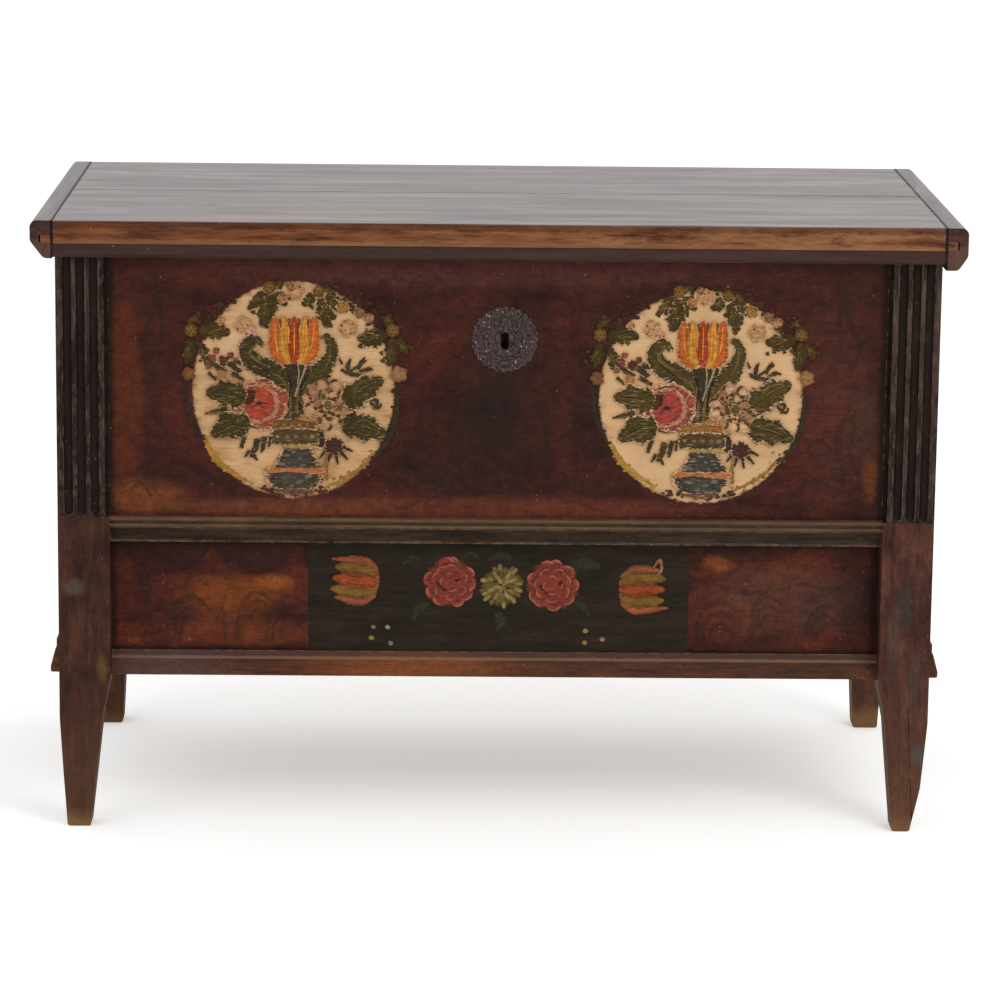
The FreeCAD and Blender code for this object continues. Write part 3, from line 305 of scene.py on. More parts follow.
    def arrises(self, radius: float, chips: float = 0.5) -> Socket:
        """Where corners have been rubbed through.

        Args:
            radius: how far the wear reaches from a corner in millimetres.
            chips: how much of it is broken up, from 0 to 1.

        Returns:
            A mask that is 1 on a bare corner.
        """
        soft = self.add("Bevel", {"Radius": radius * MM}, samples=4)
        true = self.add("NewGeometry", out="True Normal")
        same = self.add("VectorMath", {0: soft, 1: true}, out="Value",
                        operation="DOT_PRODUCT")
        edge = self.add("MapRange", {0: same, 1: 0.995, 2: 0.82},
                        interpolation_type="SMOOTHSTEP")
        rough = self.fibres(Grain.ACROSS, 12, 12, seed=3.1, detail=6.0, coarse=0.7,
                            span=(0.66 - 0.34 * chips, 0.40))
        return self.add("Math", {0: edge, 1: rough}, operation="MULTIPLY")

    def close(self, colour: Socket | tuple, roughness: Socket | float, height: Socket,
              relief: float, metallic: Socket | float = 0.0,
              **gloss: float) -> Material:
        """End the material with its shader.

        Args:
            colour: base colour.
            roughness: micro-roughness.
            height: relief pattern, from 0 to 1.
            relief: depth of that pattern in millimetres.
            metallic: share of bare metal.
            **gloss: further inputs of the shader, by name, with underscores for spaces.

        Returns:
            The finished material.
        """
        bump = self.add("Bump", {"Height": height, "Distance": relief * MM, "Strength": 1.0})
        inputs = {"Base Color": colour, "Roughness": roughness, "Metallic": metallic,
                  "Normal": bump}
        for name, value in gloss.items():
            inputs[name.replace("_", " ")] = value
        self.add("OutputMaterial", {"Surface": self.add("BsdfPrincipled", inputs)})
        return self.material


@dataclass(frozen=True)
class BareSoftwood:
    """Unpainted pine or spruce, planed by hand and brown with age.

    Early wood is honey brown and late wood darker, in streaks along the board; the
    surface is dry, so it is dull and slightly furry.
    """

    name: str
    grain: Grain
    early: str = "#8E6B47"
    late: str = "#5E4129"
    stain: str = "#4A3524"
    gap: str = "#1A1009"
    seams: Seams = ()

    def colour(self, coat: Coat) -> tuple[Socket, Socket]:
        """Colour and relief of the bare wood."""
        rings = coat.fibres(self.grain, 420, 6, seed=1.3, detail=3.0, waver=0.8)
        fine = coat.fibres(self.grain, 70, 1.1, seed=4.2)
        tone = coat.add("Mix", {0: 0.3, 2: rings, 3: fine})
        wood = coat.add("ValToRGB", {0: tone}, stops=[(0.36, self.late), (0.64, self.early)])
        age = coat.fibres(Grain.ACROSS, 150, 150, seed=2.0, detail=3.0, span=(0.45, 0.75))
        dirt = coat.fibres(self.grain, 16, 6, seed=5.2, detail=6.0, waver=0.5, coarse=0.8,
                           span=(*MOST, 0.8, 1.2))
        return coat.coats(wood, (self.stain, age, 0.5), (dirt, 1.0),
                          *[(self.gap, coat.seam(way, place, width, ragged=0.4), 0.9)
                            for way, place, width in self.seams]), fine

    def build(self) -> Material:
        """Make the material."""
        coat = Coat(self.name)
        wood, fine = self.colour(coat)
        dull = coat.add("MapRange", {0: fine, **FROM_NOISE, 3: 0.62, 4: 0.8})
        return coat.close(wood, dull, fine, 0.35, Specular_IOR_Level=0.3)


@dataclass(frozen=True)
class Blotch:
    """One place on a board whose paint differs in colour, changed by time or a wide brush; one,
    beside the frieze's right post, is mostly painted shadow.
    """

    colour: str
    middle: Point
    radii: Point
    strength: float = 0.5
    edge: Point = (1.1, 0.35)
    ragged: float = 0.5
    depth: float = PANEL_FACE

    def layer(self, coat: Coat) -> Layer:
        """Its colour and masks, ready to be laid over the paint."""
        where = coat.patch((self.middle[0], self.depth, self.middle[1]),
                           (self.radii[0], 60.0, self.radii[1]), seed=self.middle[0] * 0.01,
                           ragged=self.ragged, span=self.edge)
        return self.colour, where, self.strength


def blotches(depth: float, *rows: tuple) -> tuple[Blotch, ...]:
    """Several blotches on one face, each row its colour, middle, radii and strength."""
    return tuple(Blotch(*row, depth=depth) for row in rows)


@dataclass(frozen=True)
class RedBrownPaint:
    """Thin red-brown oil paint, dull with age, on hand-planed softwood.

    The colour is mottled like worn leather, darker in the middle of the panel and rubbed
    to orange-brown near its edges; planing ridges run across it, and a few pale splashes
    have dried on it. The side towards the inside of the chest was never painted. Dark bands
    along chosen edges, where a board meets a post, the lid or a rail, are painted shade.
    """

    name: str
    dark: str = "#190B09"
    body: str = "#341711"
    warm: str = "#441D14"
    rubbed: str = "#582A18"
    splash: str = "#9A8F86"
    chip: str = "#7E5A38"
    inside: tuple[Place, float] = ()
    blotches: tuple[Blotch, ...] = ()
    # Edges darkened with painted shade where the board meets a post, the lid or a rail: a way
    # towards each edge and its place in millimetres.
    corners: tuple[tuple[Place, float], ...] = ()
    seed: float = 5.0

    def colour(self, coat: Coat) -> tuple[Socket, Socket]:
        """Colour and relief of the paint alone."""
        tone = coat.fibres(Grain.ACROSS, 110, 75, seed=self.seed, detail=9.0, waver=0.4,
                           coarse=0.76)
        paint = coat.add("ValToRGB", {0: tone}, stops=[
            (0.31, self.dark), (0.46, self.body), (0.60, self.warm), (0.76, self.rubbed)])
        ridges = coat.fibres(Grain.ACROSS, 38, 1.7, seed=9.1, detail=3.0)
        shade = coat.add("MapRange", {0: ridges, **FROM_NOISE, 3: 0.86, 4: 1.13})
        mottle = coat.fibres(Grain.ACROSS, 13, 10, seed=6.6, detail=6.0, waver=0.5, coarse=0.8,
                             span=(*MOST, 0.66, 1.38))
        grime = coat.fibres(Grain.ACROSS, 6, 3, seed=1.7, detail=6.0, coarse=0.8,
                            span=(0.56, 0.68))
        scratches = coat.fibres(Grain.UP, 14, 1.4, seed=2.9, detail=5.0, waver=0.6,
                                span=(0.69, 0.74))
        paint = coat.coats(paint, *[blotch.layer(coat) for blotch in self.blotches],
                           (shade, 1.0), (mottle, 1.0), (self.dark, grime, 0.45),
                           # painted shade along the edges beside the posts, under the lid and
                           # along the rails
                           *[(self.dark, coat.beyond(way, place, ragged=2.5, soft=4.0), 0.75)
                             for way, place in self.corners],
                           (self.splash, scratches, 0.2),
                           (self.splash, coat.specks(8, 1.0, 0.2, seed=0.3), 0.4),
                           (self.splash, coat.specks(36, 2.0, 0.22, seed=2.3), 0.32))
        return paint, ridges

    def build(self) -> Material:
        """Make the material."""
        coat = Coat(self.name)
        paint, ridges = self.colour(coat)
        layers = [(self.chip, coat.arrises(2.0), 0.7)]
        if self.inside:
            wood, _ = BareSoftwood(self.name, Grain.ACROSS).colour(coat)
            layers.append((wood, coat.beyond(*self.inside)))
        gloss = coat.fibres(Grain.ACROSS, 60, 60, seed=8.0, span=(0.35, 0.65, 0.42, 0.58))
        return coat.close(coat.coats(paint, *layers), gloss, ridges, 0.4,
                          Specular_IOR_Level=0.11)


@dataclass(frozen=True)
class FriezePaint:
    """Frieze board: a green-black middle field between two red-brown ones.

    Matt paint, laid on with a wide brush along the board, with rubbed streaks and small
    pale scratches.
    """

    name: str
    fields: RedBrownPaint
    left_edge: float = -242.0
    right_edge: float = 250.0
    back: float = -228.0
    ground: str = "#18120C"
    streak: str = "#33281D"
    scratch: str = "#8C8476"

    def colour(self, coat: Coat) -> tuple[Socket, Socket]:
        """Colour and relief of the paint alone."""
        red, ridges = self.fields.colour(coat)
        brush = coat.fibres(Grain.ACROSS, 60, 9, seed=3.0, detail=8.0, coarse=0.75)
        middle = coat.add("ValToRGB", {0: brush},
                          stops=[(0.32, self.ground), (0.72, self.streak)])
        inside = coat.beyond(RIGHT, self.left_edge, ragged=0.7, soft=0.6)
        paint = coat.coats(red, (middle, inside, coat.beyond(LEFT, -self.right_edge,
                                                             ragged=0.7, soft=0.6)),
                           (self.scratch, coat.specks(9, 0.9, 0.14, seed=1.9), 0.4))
        return paint, ridges

    def build(self) -> Material:
        """Make the material."""
        coat = Coat(self.name)
        paint, ridges = self.colour(coat)
        wood, _ = BareSoftwood(self.name, Grain.ACROSS).colour(coat)
        paint = coat.coats(paint, (wood, coat.beyond(BACK, self.back - 0.5)))
        dull = coat.fibres(Grain.ACROSS, 40, 40, seed=8.0, span=(0.35, 0.65, 0.5, 0.62))
        return coat.close(paint, dull, ridges, 0.4, Specular_IOR_Level=0.11)


@dataclass(frozen=True)
class CreamGround:
    """Cream oil ground of the medallions, laid on the red-brown paint.

    It is yellowed, scratched along the board, and speckled where it has flaked; its rim
    is feathered where the brush left it. The right one has yellowed less.
    """

    name: str
    below: RedBrownPaint
    discs: tuple[tuple[Point, Point], ...]
    face: float = PANEL_FACE
    stain: str = "#7E5430"
    aged: str = "#9A7249"
    cream: str = "#BC946A"
    pale: str = "#CDA87C"
    flake: str = "#5E3A26"
    paler: float = 0.5

    def colour(self, coat: Coat) -> tuple[Socket, Socket]:
        """Colour and relief of the ground and of the paint round it."""
        under, ridges = self.below.colour(coat)
        tone = coat.fibres(Grain.ACROSS, 55, 26, seed=3.4, detail=8.0, coarse=0.68)
        cream = coat.add("ValToRGB", {0: tone},
                         stops=[(0.3, self.aged), (0.47, self.cream), (0.7, self.pale)])
        lines = coat.fibres(Grain.ACROSS, 26, 1.2, seed=2.6, detail=3.0, span=(0.58, 0.68))
        cream = coat.coats(cream, (self.stain, lines, 0.45),
                           (self.flake, coat.specks(6.5, 1.0, 0.4, seed=1.1), 0.6))
        shown = under
        for (x, z), (across, up) in self.discs:
            place, radii = (x, self.face, z), (across, 400.0, up)
            brushed = coat.patch(place, radii, seed=x * 0.01, ragged=0.06,
                                 span=(1.01, 0.98), grit=0.05)
            clean = coat.patch(place, radii, seed=x * 0.02, ragged=0.34,
                               span=(1.08, 0.93), grit=0.14)
            shown = coat.coats(shown, (self.stain, brushed, 0.9), (cream, brushed, clean),
                               (self.pale, brushed, clean, self.paler if x > 0 else 0.0))
        return shown, ridges

    def build(self) -> Material:
        """Make the material."""
        coat = Coat(self.name)
        paint, ridges = self.colour(coat)
        dull = coat.fibres(Grain.ACROSS, 30, 30, seed=8.0, span=(0.35, 0.65, 0.48, 0.62))
        return coat.close(paint, dull, ridges, 0.3, Specular_IOR_Level=0.13)


@dataclass(frozen=True)
class FlowerPaint:
    """Oil colours of the painted flowers, thin and brittle after two centuries.

    The colour of each stroke is on the mesh. At a stroke's edge and in the planing
    ridges the brush has skipped, and there and in small flakes the ground shows.
    """

    name: str
    ground: CreamGround | FriezePaint
    strength: float = 1.0
    edge_hold: float = 0.47
    middle_hold: float = 0.70

    def build(self) -> Material:
        """Make the material."""
        coat = Coat(self.name)
        below, ridges = self.ground.colour(coat)
        stroke = coat.add("Attribute", out="Color", attribute_name="paint")
        brush = coat.fibres(Grain.ACROSS, 9, 4, seed=4.0, detail=6.0, coarse=0.75,
                            span=(*MOST, 0.60, 1.36))
        paint = coat.coats(stroke, (brush, 1.0))
        worn = coat.fibres(Grain.ACROSS, 15, 1.3, seed=5.1, span=(0.60, 0.70, 1.0, 0.45))
        dry = coat.fibres(Grain.ACROSS, 5.5, 2.8, seed=7.7, detail=6.0, coarse=0.74)
        hold = coat.add("MapRange", {0: stroke.node.outputs["Alpha"], 3: self.edge_hold,
                                     4: self.middle_hold})
        left = coat.add("Math", {0: hold, 1: dry}, operation="SUBTRACT")
        held = coat.add("MapRange", {0: left, 1: -0.06, 2: 0.09},
                        interpolation_type="SMOOTHSTEP")
        paint = coat.coats(below, (paint, held, worn, self.strength))
        dull = coat.add("MapRange", {0: dry, **FROM_NOISE, 3: 0.42, 4: 0.6})
        return coat.close(paint, dull, ridges, 0.3, Specular_IOR_Level=0.13)


@dataclass(frozen=True)
class PostPaint:
    """Corner post: near-black paint on the fluted part, red-brown on the leg.

    The flutes keep their paint and the ridges between them are rubbed grey-brown; the
    leg is mottled red-brown with upright scratches and pale splashes, and the foot is
    worn to bare wood where it stood on damp floors.
    """

    name: str
    step: float = 410.0
    groove: str = "#0E0604"
    black: str = "#26170F"
    ridge: str = "#362924"
    ridge_light: str = "#55463D"
    leg_dark: str = "#1D0F0B"
    leg: str = "#3A2119"
    leg_light: str = "#573424"
    low: str = "#6A4834"
    bare: str = "#96754A"
    arris: str = "#74645A"
    grime: str = "#2A1A12"
    splash: str = "#B0A494"
    gap: str = "#0C0706"
    foot_height: float = 13.0
    foot_strength: float = 0.6
    ridge_front: float = 281.1
    worn_from: float = 660.0
    low_end: float = 150.0
    crack: tuple[float, float, float] = ()
    blotches: tuple[Blotch, ...] = ()

    def build(self) -> Material:
        """Make the material."""
        coat = Coat(self.name)
        grain = coat.fibres(Grain.UP, 130, 2.4, seed=2.2, detail=6.0, waver=0.3, coarse=0.7)
        mottle = coat.fibres(Grain.UP, 70, 26, seed=7.2, detail=9.0, waver=0.3, coarse=0.76)
        leg = coat.add("ValToRGB", {0: mottle}, stops=[
            (0.32, self.leg_dark), (0.5, self.leg), (0.7, self.leg_light)])
        streaks = coat.add("MapRange", {0: grain, **FROM_NOISE, 3: 0.78, 4: 1.2})
        black = coat.add("ValToRGB", {0: mottle}, stops=[
            (0.35, self.groove), (0.68, self.black)])
        upper = coat.beyond(UP, self.step, ragged=0.5)
        rubbed = coat.fibres(Grain.UP, 60, 7, seed=4.4, detail=7.0, coarse=0.72,
                             span=(0.38, 0.62))
        greyed = coat.fibres(Grain.UP, 22, 6, seed=8.1, detail=5.0, coarse=0.75,
                             span=(0.50, 0.62))
        dusty = coat.fibres(Grain.UP, 60, 30, seed=6.4, detail=6.0, coarse=0.75,
                            span=(0.52, 0.68))
        grit = coat.fibres(Grain.UP, 10, 7, seed=9.6, detail=6.0, waver=0.4, coarse=0.8,
                           span=(*MOST, 0.82, 1.2))
        dirty = coat.fibres(Grain.UP, 5, 3, seed=1.2, detail=6.0, coarse=0.8,
                            span=(0.58, 0.68))
        front = coat.beyond(FRONT, self.ridge_front, soft=0.3)
        above = coat.beyond(UP, self.worn_from, ragged=30, soft=50)
        layers = [
            (self.low, coat.beyond(DOWN, -self.low_end, ragged=40, soft=130), 0.4),
            *[blotch.layer(coat) for blotch in self.blotches],
            (black, upper),
            (self.ridge, upper, front, rubbed),
            (self.ridge_light, upper, front, greyed, 0.7),
            (self.ridge_light, above, front, rubbed, 0.5),
            (self.ridge, upper, dusty, 0.4),
            (streaks, 1.0),
            (grit, 1.0),
            (self.arris, upper, coat.arrises(1.8, chips=0.5), 0.8),
            (self.bare, coat.beyond(DOWN, -self.step), coat.arrises(1.8, chips=0.55), 0.5),
            (self.grime, dirty, 0.5),
            (self.bare, coat.beyond(DOWN, -self.foot_height, ragged=9.0, soft=16.0),
             self.foot_strength),
            (self.splash, coat.specks(9, 0.9, 0.2, seed=2.7), 0.35),
            (self.splash, coat.specks(34, 2.2, 0.25, seed=5.1), 0.4),
        ]
        if self.crack:
            slope, place, top = self.crack
            layers.append((self.gap, coat.seam((1, 0, slope), place, 1.7, ragged=0.9),
                           coat.beyond(DOWN, -top)))
        gloss = coat.add("MapRange", {0: mottle, **FROM_NOISE, 3: 0.40, 4: 0.58})
        return coat.close(coat.coats(leg, *layers), gloss, grain, 0.45,
                          Specular_IOR_Level=0.12)


@dataclass(frozen=True)
class MouldingPaint:
    """Moulded rail: dark paint, rubbed through along every arris.

    Olive and grey on the beads of the middle rail, red-brown on the base moulding, with small
    pale chips. Bands at given heights hold painted light and shade: painted shade in the middle
    rail's hollow, painted highlight on its beads and on the base moulding's top fillet, and a
    pale line on that moulding's arris that is partly wear and partly painted highlight.
    """

    name: str
    hollow: str
    face: str
    light: str
    arris: str
    chip: str = "#A89A86"
    grain: Grain = Grain.ACROSS
    wear: float = 0.9
    # Painted light and shade at given heights: colour, lowest and highest height in
    # millimetres, strength.
    light_and_shade_bands: tuple[tuple[str, float, float, float], ...] = ()
    blotches: tuple[Blotch, ...] = ()

    def build(self) -> Material:
        """Make the material."""
        coat = Coat(self.name)
        mottle = coat.fibres(self.grain, 90, 12, seed=1.1, detail=8.0, coarse=0.74)
        paint = coat.add("ValToRGB", {0: mottle}, stops=[
            (0.33, self.hollow), (0.5, self.face), (0.7, self.light)])
        streaks = coat.fibres(self.grain, 60, 1.5, seed=3.3)
        shade = coat.add("MapRange", {0: streaks, **FROM_NOISE, 3: 0.8, 4: 1.2})
        grit = coat.fibres(self.grain, 10, 5, seed=7.1, detail=6.0, coarse=0.8,
                           span=(*MOST, 0.76, 1.28))
        paint = coat.coats(paint, *[blotch.layer(coat) for blotch in self.blotches],
                           (shade, 1.0), (grit, 1.0),
                           # painted light and shade in bands along the rail
                           *[(tone, coat.beyond(UP, low, soft=0.8),
                              coat.beyond(DOWN, -high, soft=0.8), strength)
                             for tone, low, high, strength in self.light_and_shade_bands],
                           (self.arris, coat.arrises(2.2, chips=0.3), self.wear),
                           (self.chip, coat.specks(7, 1.0, 0.24, seed=0.9), 0.4))
        gloss = coat.add("MapRange", {0: mottle, **FROM_NOISE, 3: 0.42, 4: 0.58})
        return coat.close(paint, gloss, streaks, 0.4, Specular_IOR_Level=0.14)


@dataclass(frozen=True)
class LidWood:
    """Lid of the chest: stained softwood, waxed on top, greyed by use and lightened by a
    painted sheen.

    The top is grey-brown with long darker streaks under a soft wax sheen; its grey-mauve
    colours are lighter than the brown wood, partly greying with age and partly a painted
    reflection of the bright room at a low angle. The front edge is red-brown on the left and
    rubbed to light brown on the right, with chips along its lower corner. Joints between boards
    and battens show as dark lines.
    """

    name: str
    grain: Grain
    # Colours of the top: partly aged grey and partly painted sheen, lighter than the wood
    # itself.
    dark: str = "#554544"
    body: str = "#706060"
    light: str = "#8C7D7B"
    edge_dark: str = "#361A0C"
    edge: str = "#63371F"
    edge_light: str = "#804D2A"
    rubbed: str = "#966A46"
    arris: str = "#9A6E48"
    knot: str = "#1C1210"
    chip: str = "#C9B39A"
    gap: str = "#0C0706"
    rubbed_share: float = 0.7
    seams: Seams = ()
    knots: tuple[tuple[Point, float], ...] = ()
    top: float = 794.0
    edge_top: float = 785.0
    edge_foot: float = 771.0
    rubbed_from: float = -60.0

    def build(self) -> Material:
        """Make the material."""
        coat = Coat(self.name)
        streaks = coat.fibres(self.grain, 330, 34, seed=6.1, detail=9.0, waver=0.6, coarse=0.68)
        fine = coat.fibres(self.grain, 90, 1.6, seed=8.8, detail=3.0)
        top = coat.add("ValToRGB", {0: streaks}, stops=[
            (0.36, self.dark), (0.5, self.body), (0.64, self.light)])
        shade = coat.add("MapRange", {0: fine, **FROM_NOISE, 3: 0.82, 4: 1.18})
        stains = coat.fibres(Grain.ACROSS, 120, 45, seed=3.9, detail=6.0, span=(0.55, 0.7))
        marks = coat.fibres(self.grain, 24, 3.2, seed=5.7, detail=5.0, span=(0.66, 0.71))
        knots = [(self.knot, coat.patch((x, y, self.top), (size, size * 0.8, 9.0),
                                        seed=x * 0.01, ragged=0.6), 0.85)
                 for (x, y), size in self.knots]
        top = coat.coats(top, (shade, 1.0), (self.dark, stains, 0.35), (self.dark, marks, 0.6),
                         *knots)
        tone = coat.fibres(self.grain, 90, 7, seed=3.3, detail=8.0, coarse=0.75)
        edge = coat.add("ValToRGB", {0: tone}, stops=[
            (0.38, self.edge_dark), (0.5, self.edge), (0.64, self.edge_light)])
        worn = coat.fibres(self.grain, 60, 14, seed=9.4, detail=8.0, waver=0.4, coarse=0.78,
                           span=(0.42, 0.62))
        to_right = coat.beyond(RIGHT, self.rubbed_from, soft=620)
        ragged = {"ragged": 3.0, "soft": 1.5}
        edge = coat.coats(edge, (self.rubbed, worn, to_right, self.rubbed_share),
                          (self.edge_dark, coat.beyond(UP, self.edge_top, **ragged), 0.45),
                          (self.rubbed, coat.beyond(DOWN, -self.edge_foot, **ragged), 0.35))
        facing = coat.add("NewGeometry", out="True Normal")
        facing = coat.add("VectorTransform", {0: facing}, vector_type="NORMAL",
                          convert_from="WORLD", convert_to="OBJECT")
        facing = coat.add("SeparateXYZ", {0: facing}, out=2)
        level = coat.add("Math", {0: facing}, operation="ABSOLUTE")
        upright = coat.add("MapRange", {0: level, 1: 0.9, 2: 0.7})
        below = coat.add("MapRange", {0: facing, 1: -0.85, 2: -0.95})
        waxed = coat.add("MapRange", {0: facing, 1: 0.3, 2: 0.9, 4: 0.72})
        joints = [coat.seam(way, place, width, ragged=0.45) for way, place, width in self.seams]
        for joint in joints:
            waxed = coat.add("Math", {0: waxed, 1: joint}, operation="SUBTRACT",
                             use_clamp=True)
        wood, _ = BareSoftwood(self.name, self.grain).colour(coat)
        chips = coat.arrises(2.6, chips=0.75)
        paint = coat.coats(top, (edge, upright), (wood, below),
                           (self.arris, chips, 0.7),
                           (self.chip, coat.specks(9, 1.0, 0.2, seed=4.4), upright, 0.4),
                           *[(self.gap, joint, 0.95) for joint in joints])
        gloss = coat.add("MapRange", {0: streaks, **FROM_NOISE, 3: 0.52, 4: 0.40})
        return coat.close(paint, gloss, fine, 0.16, Specular_IOR_Level=0.14,
                          Coat_Weight=waxed, Coat_Roughness=0.34)


@dataclass(frozen=True)
class ForgedIron:
    """Wrought iron, hammered flat and blackened, dull brown where it has rusted.

    Bare high spots catch the light in small sparkles.
    """

    name: str
    metal: str = "#7A6C68"
    black: str = "#241D1C"
    rust: str = "#3E2620"
    glint: str = "#E8E0DC"
    bare: float = 0.85
    sparkle: float = 0.0

    def build(self) -> Material:
        """Make the material."""
        coat = Coat(self.name)
        dents = coat.fibres(Grain.ACROSS, 4.0, 4.0, seed=1.0, detail=6.0, coarse=0.75)
        iron = coat.add("ValToRGB", {0: dents}, stops=[(0.42, self.black), (0.68, self.metal)])
        rusted = coat.fibres(Grain.ACROSS, 12, 12, seed=4.0, detail=6.0, span=(0.48, 0.62))
        shine = coat.add("MapRange", {0: rusted, 3: self.bare, 4: 0.12})
        rough = coat.add("MapRange", {0: dents, **FROM_NOISE, 3: 0.55, 4: 0.25})
        colour = coat.coats(iron, (self.rust, rusted, 0.8),
                            (self.glint, coat.specks(3.4, 0.8, 0.3, seed=1.3), self.sparkle))
        return coat.close(colour, rough, dents, 0.7, shine)


@dataclass(frozen=True)
class FloorPaper:
    """Pale seamless studio paper: matt, and nearly white."""

    name: str = "seamless_paper"
    shade: str = "#F6F5F3"
    lift: float = 0.36

    def build(self) -> Material:
        """Make the material."""
        coat = Coat(self.name)
        fibre = coat.fibres(Grain.ACROSS, 6, 6, seed=1.0, detail=3.0)
        seen = coat.add("LightPath", out="Is Camera Ray")
        lift = coat.add("Math", {0: seen, 1: self.lift}, operation="MULTIPLY")
        return coat.close(linear(self.shade), 0.9, fibre, 0.1,
                          Emission_Color=linear("#FFFFFF"), Emission_Strength=lift)


def flow(points: Sequence[Point], steps: int) -> list[Vector]:
    """Smooth line through points.

    Args:
        points: places that the line passes.
        steps: places worked out between two points.

    Returns:
        Places along the line, its two ends among them.
    """
    ends = [Vector(points[0]), *(Vector(p) for p in points), Vector(points[-1])]
    line = []
    for before, start, stop, after in zip(ends, ends[1:], ends[2:], ends[3:]):
        for step in range(steps):
            t = step / steps
            line.append(0.5 * (2 * start + (stop - before) * t
                               + (2 * before - 5 * start + 4 * stop - after) * t ** 2
                               + (3 * start - before - 3 * stop + after) * t ** 3))
    line.append(Vector(points[-1]))
    return line


def unit(degrees: float) -> Vector:
    """Way that points at an angle, counted against the clock from the right."""
    return Vector((math.cos(math.radians(degrees)), math.sin(math.radians(degrees))))


def blend_at(values: Sequence[float], share: float) -> float:
    """Value a given share of the way along a row of evenly spaced values."""
    place = share * (len(values) - 1)
    index = min(int(place), len(values) - 2)
    return values[index] + (values[index + 1] - values[index]) * (place - index)


def tinted(edge: str, middle: str, share: float, tone: float, cover: float) -> list[float]:
    """Linear colour between a stroke's edge and its middle, with its cover as alpha."""
    return [*((a + (b - a) * share) * tone
              for a, b in zip(linear(edge)[:3], linear(middle)[:3])), cover]


